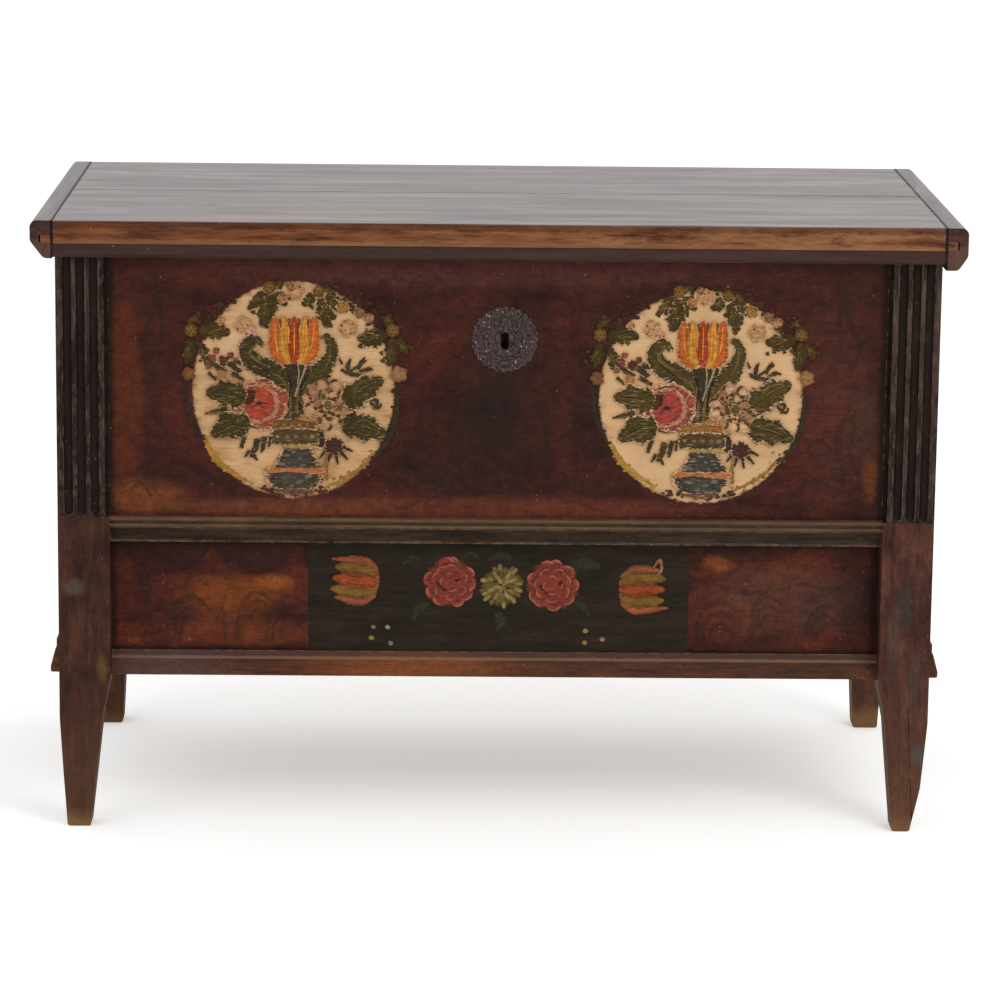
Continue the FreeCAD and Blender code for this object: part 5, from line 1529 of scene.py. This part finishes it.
@dataclass
class FriezeFlowers:
    """Row of flowers on the green-black field: tulips on their side, roses, a daisy."""

    face: float = FRIEZE_FACE
    red: Palette = Palette(rose="#803628", rose_edge="#5E2A20", rose_heart="#40201A",
                           rose_pale="#9C5C4A")
    green: Palette = Palette(rose="#665426", rose_edge="#44361A", rose_heart="#332A14",
                             rose_pale="#8A7444")

    def build(self, flowers: Material) -> None:
        """Paint the row.

        Args:
            flowers: finish of the strokes.
        """
        work = BrushWork("frieze_flowers", (0.0, 0.0), self.face, 41)
        for spine, widths in (
            ([(96, 340), (112, 346), (136, 342)], (8, 24, 22, 3)),
            ([(-96, 350), (-108, 352), (-120, 344)], (5, 12, 10, 3)),
            ([(-84, 292), (-100, 284), (-106, 268)], (7, 18, 14, 3)),
            ([(20, 352), (6, 356), (-10, 350)], (5, 14, 12, 3)),
            ([(100, 296), (116, 288), (122, 276)], (5, 16, 12, 3)),
            ([(0, 280), (8, 270), (2, 256)], (5, 18, 14, 3)),
            ([(-22, 352), (-32, 358), (-44, 354)], (4, 10, 8, 2)),
        ):
            work.stroke(spine, widths, "#1C1A12", "#2E2E1B", teeth=3)
        Bloom(work, (-59, 320), 34).open_rose(self.red)
        Bloom(work, (74, 317), 34).open_rose(self.red)
        Bloom(work, (8, 316), 31).daisy(self.green)
        for place, turn in (((-180, 322), 84), ((189, 312), -88)):
            work.set_out(place, turn)
            Bloom(work, (0, 0), 32).cup("#7A5622", "#984020", "#8C4A2E", "#523016")
        work.set_out((0.0, 0.0))
        work.stroke([(203, 340), (212, 352), (214, 338), (206, 330)], (2, 5, 5, 2), "#6E3A2C",
                    "#8E5A4A")
        for x, z, edge, middle in (
            (-157, 260, "#4A463A", "#66624E"), (-139, 260, "#4A463A", "#807A66"),
            (-160, 246, "#5A5020", "#8A7E3A"), (-135, 239, "#4A463A", "#6E6A58"),
            (117, 257, "#6A4420", "#96744A"), (139, 246, "#6A4420", "#96744A"),
            (116, 241, "#6A4420", "#8E6C3E"),
        ):
            work.dab((x, z), (4.0, 3.5), edge, middle, segments=9, wobble=0.18)
        work.finish(flowers)


@dataclass
class FadedOrnaments:
    """Dark scrolls, urn and palmettes of an older coat, faint under the red-brown one."""

    panel_face: float = PANEL_FACE
    frieze_face: float = FRIEZE_FACE
    edge: str = "#170B08"
    middle: str = "#1E120C"

    def build(self, on_panel: Material, on_frieze: Material) -> None:
        """Paint the ornaments.

        Args:
            on_panel: finish of those on the panel.
            on_frieze: finish of those on the frieze.
        """
        work = BrushWork("panel_scrolls", (0.0, 0.0), self.panel_face, 61, 0.02)
        for mirror, shift in ((False, 0.0), (True, 6.0)):
            work.set_out((shift, 0.0), mirror=mirror)
            self.side_scrolls(work)
        work.set_out((0.0, 0.0))
        self.urn(work)
        work.finish(on_panel)
        work = BrushWork("frieze_palmettes", (0.0, 0.0), self.frieze_face, 67, 0.02)
        self.palmettes(work)
        work.finish(on_frieze)

    def fan(self, work: BrushWork, base: Point, reach: float, spread: float,
            count: int) -> None:
        """Paint leaves that spread upwards from one place.

        Args:
            work: the drawing.
            base: where they start.
            reach: how long they are, in millimetres.
            spread: angle between the outer two, in degrees.
            count: how many there are.
        """
        for k in range(count):
            lean = math.radians(spread * (k / (count - 1) - 0.5))
            tip = (base[0] + reach * math.sin(lean), base[1] + reach * math.cos(lean))
            bend = (base[0] + reach * 0.45 * math.sin(lean * 1.7),
                    base[1] + reach * 0.55 * math.cos(lean))
            work.stroke([base, bend, tip], (3, 8, 3), self.edge, self.middle)

    def side_scrolls(self, work: BrushWork) -> None:
        """S-shaped scrolls that stand outside a medallion."""
        work.strokes(
            self.edge, self.middle,
            ([(-442, 723), (-432, 698), (-447, 654), (-454, 631), (-443, 595)],
             (4, 14, 9, 8, 4)),
            ([(-425, 722), (-429, 682), (-427, 651), (-433, 625), (-452, 600)],
             (4, 10, 8, 7, 3)),
            ([(-492, 693), (-476, 690), (-460, 693)], (6, 9, 4)),
            ([(-456, 580), (-443, 586), (-428, 582)], (5, 10, 5)),
            ([(-445, 562), (-429, 516), (-437, 470), (-437, 440)], (5, 13, 10, 4)),
            ([(-452, 540), (-446, 500), (-462, 462)], (4, 8, 3)),
            ([(-424, 498), (-408, 514), (-392, 506), (-398, 492), (-410, 496)],
             (4, 8, 8, 6, 3)),
            ([(-424, 452), (-400, 462), (-376, 446), (-372, 430)], (4, 8, 8, 3)),
            ([(-478, 566), (-488, 560), (-492, 566)], (3, 6, 3)),
            ([(-470, 440), (-455, 452), (-440, 432)], (3, 7, 3)),
            ([(-112, 440), (-92, 462), (-66, 446), (-60, 428)], (4, 9, 8, 3)),
            ([(-132, 420), (-112, 424), (-96, 434)], (3, 7, 3)))

    def urn(self, work: BrushWork) -> None:
        """Tall urn under the keyhole, with leaves at its foot."""
        work.strokes(
            self.edge, self.middle,
            ([(0, 598), (0, 560), (-1, 510), (-1, 478)], (34, 66, 58, 22)),
            ([(-1, 480), (0, 462), (0, 440)], (14, 12, 26)),
            ([(-46, 560), (-60, 520), (-52, 478), (-30, 462)], (4, 10, 9, 3)),
            ([(48, 560), (62, 520), (54, 478), (32, 462)], (4, 10, 9, 3)),
            ([(-14, 436), (-36, 448), (-62, 436)], (4, 9, 3)),
            ([(14, 436), (36, 450), (60, 436)], (4, 9, 3)),
            ([(60, 458), (82, 470), (92, 452), (80, 442)], (4, 9, 8, 3)),
            ([(96, 560), (102, 500), (98, 432)], (4, 10, 4)),
            ([(108, 494), (122, 508), (136, 496), (126, 482)], (4, 8, 8, 3)),
            ([(-96, 560), (-100, 510), (-96, 470)], (4, 8, 3)))
        self.fan(work, (0, 600), 34, 120, 5)

    def palmettes(self, work: BrushWork) -> None:
        """Nested arches and leaves along the lower edge of the frieze's outer fields."""
        work.strokes(self.edge, self.middle,
                     ([(276, 324), (310, 312), (352, 310), (398, 322)], (4, 9, 9, 4)),
                     ([(398, 322), (430, 314), (462, 322)], (4, 8, 4)))
        for x, z, high in ((-262, 238, 62), (-306, 262, 44), (-392, 242, 58),
                           (292, 240, 58), (356, 258, 46), (430, 242, 50)):
            for step in (1.0, 0.74, 0.48):
                wide = high * 0.55 * step
                work.stroke([(x - wide, z), (x - wide * 0.8, z + high * step * 0.7),
                             (x, z + high * step), (x + wide * 0.9, z + high * step * 0.6)],
                            (4, 9, 8, 3), self.edge, self.middle)
        for x, lean in ((-452, 10), (-430, 18), (-348, -6), (-334, 4), (330, 6), (462, -12)):
            work.stroke([(x, 240), (x + lean * 0.4, 262), (x + lean, 288)], (4, 10, 3),
                        self.edge, self.middle)


@dataclass(frozen=True)
class Marks:
    """One ring of embossed marks on the rosette; sizes in millimetres."""

    name: str
    count: int
    radius: float
    length: float
    width: float
    height: float
    uneven: float = 0.2


@dataclass
class RosetteRelief:
    """Petals and beads driven up in the iron rosette from behind, ring by ring."""

    middle: Point = (8.0, 642.0)
    face: float = -270.6
    rings: tuple[Marks, ...] = (
        Marks("rosette_rim_beads", 40, 39.4, 1.7, 1.5, 1.0),
        Marks("rosette_outer_petals", 34, 33.0, 4.6, 1.7, 1.3),
        Marks("rosette_middle_beads", 44, 27.9, 1.1, 1.1, 0.9),
        Marks("rosette_inner_petals", 26, 19.6, 3.6, 1.5, 1.2),
        Marks("rosette_punch_marks", 30, 30.6, 0.8, 0.8, 0.8),
    )

    def build(self, iron: Material) -> None:
        """Make every ring.

        Args:
            iron: finish of the rosette.
        """
        tree = self.make_tree(iron)
        for seed, marks in enumerate(self.rings):
            host = put(marks.name, bpy.data.meshes.new(marks.name))
            modifier = host.modifiers.new("marks", "NODES")
            modifier.node_group = tree
            sizes = {"Count": marks.count, "Uneven": marks.uneven, "Seed": seed}
            for size in ("radius", "length", "width", "height"):
                sizes[size.capitalize()] = getattr(marks, size) * MM
            for socket in tree.interface.items_tree:
                if socket.name in sizes:
                    modifier[socket.identifier] = sizes[socket.name]
            graph = bpy.context.evaluated_depsgraph_get()
            mesh = bpy.data.meshes.new_from_object(host.evaluated_get(graph))
            mesh.name = marks.name
            host.modifiers.remove(modifier)
            host.data = mesh
            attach(host, "carcass")
            log.info("embossed %s, %d marks", marks.name, marks.count)

    def make_tree(self, iron: Material) -> bpy.types.NodeTree:
        """Tree that sets flattened domes in a ring, each turned outwards.

        Args:
            iron: finish of the domes.

        Returns:
            The tree.
        """
        tree = bpy.data.node_groups.new("ring_of_marks", "GeometryNodeTree")
        tree.interface.new_socket("Marks", in_out="OUTPUT", socket_type="NodeSocketGeometry")
        for name in ("Radius", "Length", "Width", "Height", "Uneven"):
            tree.interface.new_socket(name, in_out="INPUT", socket_type="NodeSocketFloat")
        for name in ("Count", "Seed"):
            tree.interface.new_socket(name, in_out="INPUT", socket_type="NodeSocketInt")

        add = partial(add_node, tree)
        given = add("NodeGroupInput").node.outputs
        ring = add("GeometryNodeMeshCircle", {"Vertices": given["Count"],
                                              "Radius": given["Radius"]})
        dome = add("GeometryNodeMeshIcoSphere", {"Radius": 1.0, "Subdivisions": 2})
        size = add("ShaderNodeCombineXYZ", {0: given["Length"], 1: given["Width"],
                                            2: given["Height"]})
        dome = add("GeometryNodeTransform", {"Geometry": dome, "Scale": size})
        turn = add("ShaderNodeMath", {0: add("GeometryNodeInputIndex"), 1: given["Count"]},
                   operation="DIVIDE")
        turn = add("ShaderNodeMath", {0: turn, 1: math.tau}, operation="MULTIPLY")
        turn = add("ShaderNodeCombineXYZ", {2: turn})
        least = add("ShaderNodeMath", {0: 1.0, 1: given["Uneven"]}, operation="SUBTRACT")
        most = add("ShaderNodeMath", {0: 1.0, 1: given["Uneven"]}, operation="ADD")
        scale = add("FunctionNodeRandomValue", {2: least, 3: most, "Seed": given["Seed"]},
                    out=1)
        marks = add("GeometryNodeInstanceOnPoints",
                    {"Points": ring, "Instance": dome, "Rotation": turn, "Scale": scale})
        marks = add("GeometryNodeRealizeInstances", {"Geometry": marks})
        place = (self.middle[0] * MM, self.face * MM, self.middle[1] * MM)
        marks = add("GeometryNodeTransform", {"Geometry": marks, "Translation": place,
                                              "Rotation": (math.radians(90), 0.0, 0.0)})
        marks = add("GeometryNodeSetShadeSmooth", {"Geometry": marks})
        marks = add("GeometryNodeSetMaterial", {"Geometry": marks, "Material": iron})
        add("NodeGroupOutput", {0: marks})
        return tree


@dataclass(frozen=True)
class SoftBox:
    """Square area light: its place and side in millimetres, its strength in watts."""

    name: str
    place: Place
    side: float
    power: float


@dataclass
class Studio:
    """Camera, lights and the pale floor. The camera's pose is that of the photograph."""

    eye: Place = (-86.14, -5397.94, 1491.35)
    lens: float = 148.06
    sensor: float = 36.0
    yaw: float = 0.966
    pitch: float = 11.618
    roll: float = 0.641
    sight: float = 100000.0
    floor_half: float = 30000.0
    room_light: float = 0.82
    aim: Place = (0.0, 0.0, 450.0)
    boxes: tuple[SoftBox, ...] = (SoftBox("key_box", (1900, -2600, 2500), 1500, 38),
                                  SoftBox("fill_box", (-2600, -2300, 1900), 1800, 8))
    paper: FloorPaper = FloorPaper()

    def build(self) -> None:
        """Set up the whole studio."""
        self.make_camera()
        self.make_floor()
        self.make_lights()
        bpy.context.scene.view_settings.view_transform = "Standard"

    def make_camera(self) -> None:
        """Camera on the photograph's line of sight."""
        data = bpy.data.cameras.new("camera")
        data.lens = self.lens
        data.sensor_width = self.sensor
        data.sensor_fit = "HORIZONTAL"
        data.clip_end = self.sight * MM
        camera = put("camera", data)
        turn = (Matrix.Rotation(-math.radians(self.yaw), 4, "Z")
                @ Matrix.Rotation(math.radians(90 - self.pitch), 4, "X")
                @ Matrix.Rotation(math.radians(self.roll), 4, "Z"))
        camera.matrix_world = Matrix.Translation(Vector(self.eye) * MM) @ turn
        bpy.context.scene.camera = camera

    def make_floor(self) -> None:
        """A wide sheet of paper under the feet."""
        half = self.floor_half * MM
        mesh = bpy.data.meshes.new("studio_floor")
        corners = [(-half, -half, 0), (half, -half, 0), (half, half, 0), (-half, half, 0)]
        mesh.from_pydata(corners, [], [(0, 1, 2, 3)])
        mesh.materials.append(self.paper.build())
        floor = put("studio_floor", mesh)

    def make_lights(self) -> None:
        """A pale room and two large soft boxes, the stronger one on the right."""
        world = bpy.data.worlds.new("pale_room")
        world.use_nodes = True
        room = world.node_tree.nodes["Background"]
        room.inputs["Color"].default_value = linear("#FFFFFF")
        room.inputs["Strength"].default_value = self.room_light
        bpy.context.scene.world = world
        for box in self.boxes:
            data = bpy.data.lights.new(box.name, "AREA")
            data.size = box.side * MM
            data.energy = box.power
            lamp = put(box.name, data)
            lamp.location = Vector(box.place) * MM
            way = Vector(self.aim) * MM - lamp.location
            lamp.rotation_euler = way.to_track_quat("-Z", "Y").to_euler()


@dataclass
class Chest:
    """The chest's finishes, put on the pieces that the CAD frame already has."""

    nodes: dict[str, bpy.types.Object]
    discs: tuple[tuple[Point, Point], ...] = (
        ((-260.3, 574.5), (128.5, 140.0)), ((259.2, 569.0), (130.2, 137.5)))
    panel: RedBrownPaint = RedBrownPaint(
        "red_brown_panel_paint", inside=(BACK, -247.5), blotches=blotches(
            PANEL_FACE,
            ("#5A2A14", (-474, 560), (30, 190), 0.55),
            ("#52261A", (-330, 730), (160, 36), 0.45),
            ("#6E3A1E", (-452, 432), (70, 30), 0.75),
            ("#643220", (-60, 422), (430, 20), 0.7),
            ("#6A3A22", (-300, 420), (150, 14), 0.5),
            ("#4E2A20", (430, 560), (60, 150), 0.5),
            ("#6A3818", (478, 466), (14, 40), 0.5),
            ("#3A2A1C", (468, 536), (24, 60), 0.5),
            ("#1E1610", (0, 520), (90, 110), 0.5),
            ("#221812", (-70, 470), (60, 60), 0.4),
            ("#1C1412", (120, 560), (40, 130), 0.3),
            ("#2A1A14", (470, 720), (60, 50), 0.4),
            ("#5A342C", (0, 732), (470, 30), 0.45),
        # corners: painted shade beside both posts and under the lid strip
        ), corners=((RIGHT, 487.0), (LEFT, 490.0), (UP, 750.0)))
    frieze_fields: RedBrownPaint = RedBrownPaint(
        "red_brown_frieze_paint", body="#3E1B13", warm="#562615", rubbed="#7A421E", seed=9.0,
        blotches=blotches(
            FRIEZE_FACE,
            ("#7A3E1A", (-340, 300), (80, 34), 0.65),
            ("#8A4C1E", (-286, 318), (30, 14), 0.6),
            ("#6A341A", (-330, 254), (100, 26), 0.5),
            ("#7E4422", (288, 348), (26, 16), 0.6),
            ("#64301C", (340, 300), (90, 50), 0.4),
            # dark band beside the right post: painted shadow of the post, partly a dark painted
            # border
            ("#1A1010", (470, 300), (40, 90), 0.5),
            ("#4A362E", (370, 300), (120, 60), 0.4),
            ("#2C1612", (-424, 378), (60, 50), 0.85, (1.04, 0.95), 0.16),
            ("#2E1814", (-312, 378), (56, 50), 0.85, (1.04, 0.95), 0.16),
            ("#2E1814", (330, 388), (74, 40), 0.6, (1.04, 0.95), 0.16),
        # corners: painted shade beside both posts, under the middle rail and above the bottom
        # rail
        ), corners=((RIGHT, 486.0), (LEFT, 489.0), (UP, 369.0), (DOWN, -234.0)))
    left: set[str] = field(default_factory=set)

    def build(self) -> None:
        """Dress every piece and paint the front."""
        self.left = set(self.nodes)
        self.dress_front()
        self.dress_posts()
        self.dress_lid()
        iron = ForgedIron("forged_iron").build()
        self.dress(iron, *[name for name in sorted(self.left) if any(
            word in name for word in ("nails", "hinge", "lock", "staple", "key_pin"))])
        rosette = ForgedIron("embossed_iron", "#6E5A56", "#1C1210", "#3A221C", bare=0.6,
                             sparkle=0.8).build()
        self.dress(rosette, "keyhole_rosette", "rosette_pins")
        RosetteRelief().build(rosette)
        joints = [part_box(f"back_{place}_board")[0][2] / MM for place in ("upper", "middle")]
        bare = BareSoftwood("bare_pine_across", Grain.ACROSS, seams=tuple(
            (UP, height, 2.4) for height in joints)).build()
        self.dress(bare, "back_upper_board", "back_middle_board", "back_lower_board",
                   "front_floor_bearer", "rear_floor_bearer")
        self.dress(BareSoftwood("bare_pine_front_to_back", Grain.BACK).build(),
                   *sorted(self.left))
        self.paint_flowers()

    def dress(self, material: Material, *names: str) -> None:
        """Give pieces a finish.

        Args:
            material: the finish.
            *names: the pieces' names.
        """
        for name in names:
            piece = self.nodes[name]
            if not piece.material_slots:
                piece.data.materials.append(material)
            for slot in piece.material_slots:
                slot.material = material
            self.left.discard(name)
            log.info("dressed %s with %s", name, material.name)

    def dress_front(self) -> None:
        """Panel, frieze, rails and the painted ends of the chest."""
        self.dress(self.panel.build(), "front_panel")
        self.dress(FriezePaint("frieze_paint", self.frieze_fields).build(), "front_frieze")
        # Middle rail: painted shade in the hollow and painted highlight on the beads.
        self.dress(MouldingPaint("middle_rail_paint", "#160C06", "#42301F", "#624A38",
                                 "#8C7C6A", light_and_shade_bands=(("#1A100A", 378.0, 391.0, 0.5),
                                                   ("#7A5C48", 395.0, 411.0, 0.3))).build(),
                   "front_mid_rail")
        # Base rail: painted light on the top fillet, and a pale arris line that is partly wear
        # and partly painted highlight.
        base = MouldingPaint("base_rail_paint", "#2A140C", "#472618", "#5C361F", "#8E7258",
                             light_and_shade_bands=(("#4A3832", 222.0, 229.5, 0.55),
                                    ("#8C7058", 218.5, 221.5, 0.5)),
                             blotches=blotches(
                                 POST_FACE, ("#7E4420", (-110, 210), (190, 30), 0.7),
                                 ("#4E3632", (-430, 212), (110, 40), 0.8)))
        self.dress(base.build(), "front_bottom_rail")
        self.dress(MouldingPaint("side_moulding_paint", "#2E160E", "#4E2A1C", "#6A3C24",
                                 "#94704C", grain=Grain.BACK).build(),
                   "left_side_base_moulding", "right_side_base_moulding")
        for side, corner, way in (("left", 1, 1), ("right", 0, -1)):
            for row in ("upper", "lower"):
                board = f"{side}_{row}_side_board"
                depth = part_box(board)[corner][0] * way / MM - 0.5
                self.dress(RedBrownPaint(f"{board}_paint", inside=((way, 0, 0), depth),
                                         chip="#4A2E20", seed=way + depth).build(), board)

    def dress_posts(self) -> None:
        """Posts: the right ones are redder and more worn than the left ones."""
        left = PostPaint("left_post_paint", blotches=blotches(
            POST_FACE,
            ("#7A5A30", (-506, 211), (10, 24), 0.35, (1.1, 0.35), 0.9),
            ("#24160F", (-520, 204), (14, 12)),
            ("#5E5650", (-541, 318), (18, 14), 0.35),
            ("#52281E", (-540, 130), (12, 70), 0.35),
        ))
        right = PostPaint("right_post_paint", leg="#452720", leg_light="#653F2C",
                          low="#704C38", ridge="#40312A", foot_strength=0.35,
                          crack=(0.0605, 544.7, 165.0), blotches=blotches(
                              POST_FACE,
                              ("#3E4038", (526, 300), (14, 40), 0.4),
                              ("#454640", (548, 103), (12, 18), 0.8),
                              ("#3A3830", (512, 250), (10, 60), 0.4),
                              ("#50483C", (540, 200), (10, 40), 0.4),
                          ))
        for side, post in (("left", left), ("right", right)):
            self.dress(post.build(), f"front_{side}_post")
            rear = replace(post, name=f"rear_{side}_post_paint", crack=(), blotches=(),
                           foot_height=8.0 if side == "left" else 24.0,
                           foot_strength=0.5)
            self.dress(rear.build(), f"rear_{side}_post")

    def dress_lid(self) -> None:
        """Lid boards, end battens and the strip under the front edge."""
        seams = ((RIGHT, 562.5, 4.5), (RIGHT, -562.5, 4.5), (BACK, 1.0, 5.0))
        knots = (((-4, 268), 8), ((470, 270), 9), ((-371, -145), 7), ((19, -264), 5))
        self.dress(LidWood("lid_board_wood", Grain.ACROSS, seams=seams, knots=knots).build(),
                   "lid_front_board", "lid_rear_board")
        # Batten tops light grey-mauve: partly aged grey, partly painted sheen.
        batten = LidWood("lid_batten_wood", Grain.BACK, "#46383A", "#5C4C4C", "#74645E",
                         edge_dark="#2E1A14", edge="#422A22",
                         edge_light="#523430", rubbed="#6A4C40", rubbed_share=0.1,
                         arris="#6E5044", seams=seams[:2])
        self.dress(batten.build(), "lid_left_batten", "lid_right_batten")
        strip = LidWood("lid_strip_wood", Grain.ACROSS, edge_dark="#261512", edge="#35211C",
                        edge_light="#432A24", rubbed="#463230", rubbed_share=0.4,
                        arris="#4E3830")
        self.dress(strip.build(), "lid_front_strip")

    def paint_flowers(self) -> None:
        """Medallions, frieze flowers and the faded ornaments."""
        cream = CreamGround("cream_medallion_ground", self.panel, self.discs)
        flowers = FlowerPaint("medallion_flower_paint", cream).build()
        ground = cream.build()
        (left, left_radii), (right, right_radii) = self.discs
        Medallion("left_medallion", left, left_radii, 11).build(ground, flowers)
        Medallion("right_medallion", right, right_radii, 23, rise=4.0,
                  colours=Palette(leaf="#443816", leaf_light="#60522A", rose="#8A3A34",
                                  rose_edge="#562420", rose_bright="#98342C",
                                  petal="#BC946C", vase="#3E3E36",
                                  scroll="#8E5A2C")).build(ground, flowers)
        frieze = FriezePaint("frieze_flower_ground", self.frieze_fields)
        FriezeFlowers().build(FlowerPaint("frieze_flower_paint", frieze).build())
        FadedOrnaments().build(
            FlowerPaint("faded_panel_ornament_paint", cream, 0.5, 0.42, 0.58).build(),
            FlowerPaint("faded_frieze_ornament_paint", frieze, 0.45, 0.42, 0.58).build())


def main() -> None:
    """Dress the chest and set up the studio."""
    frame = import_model()
    Studio().build()
    Chest(frame["nodes"]).build()


if __name__ == "__main__":
    logging.basicConfig(level=logging.INFO, format="%(name)s: %(message)s")
    main()
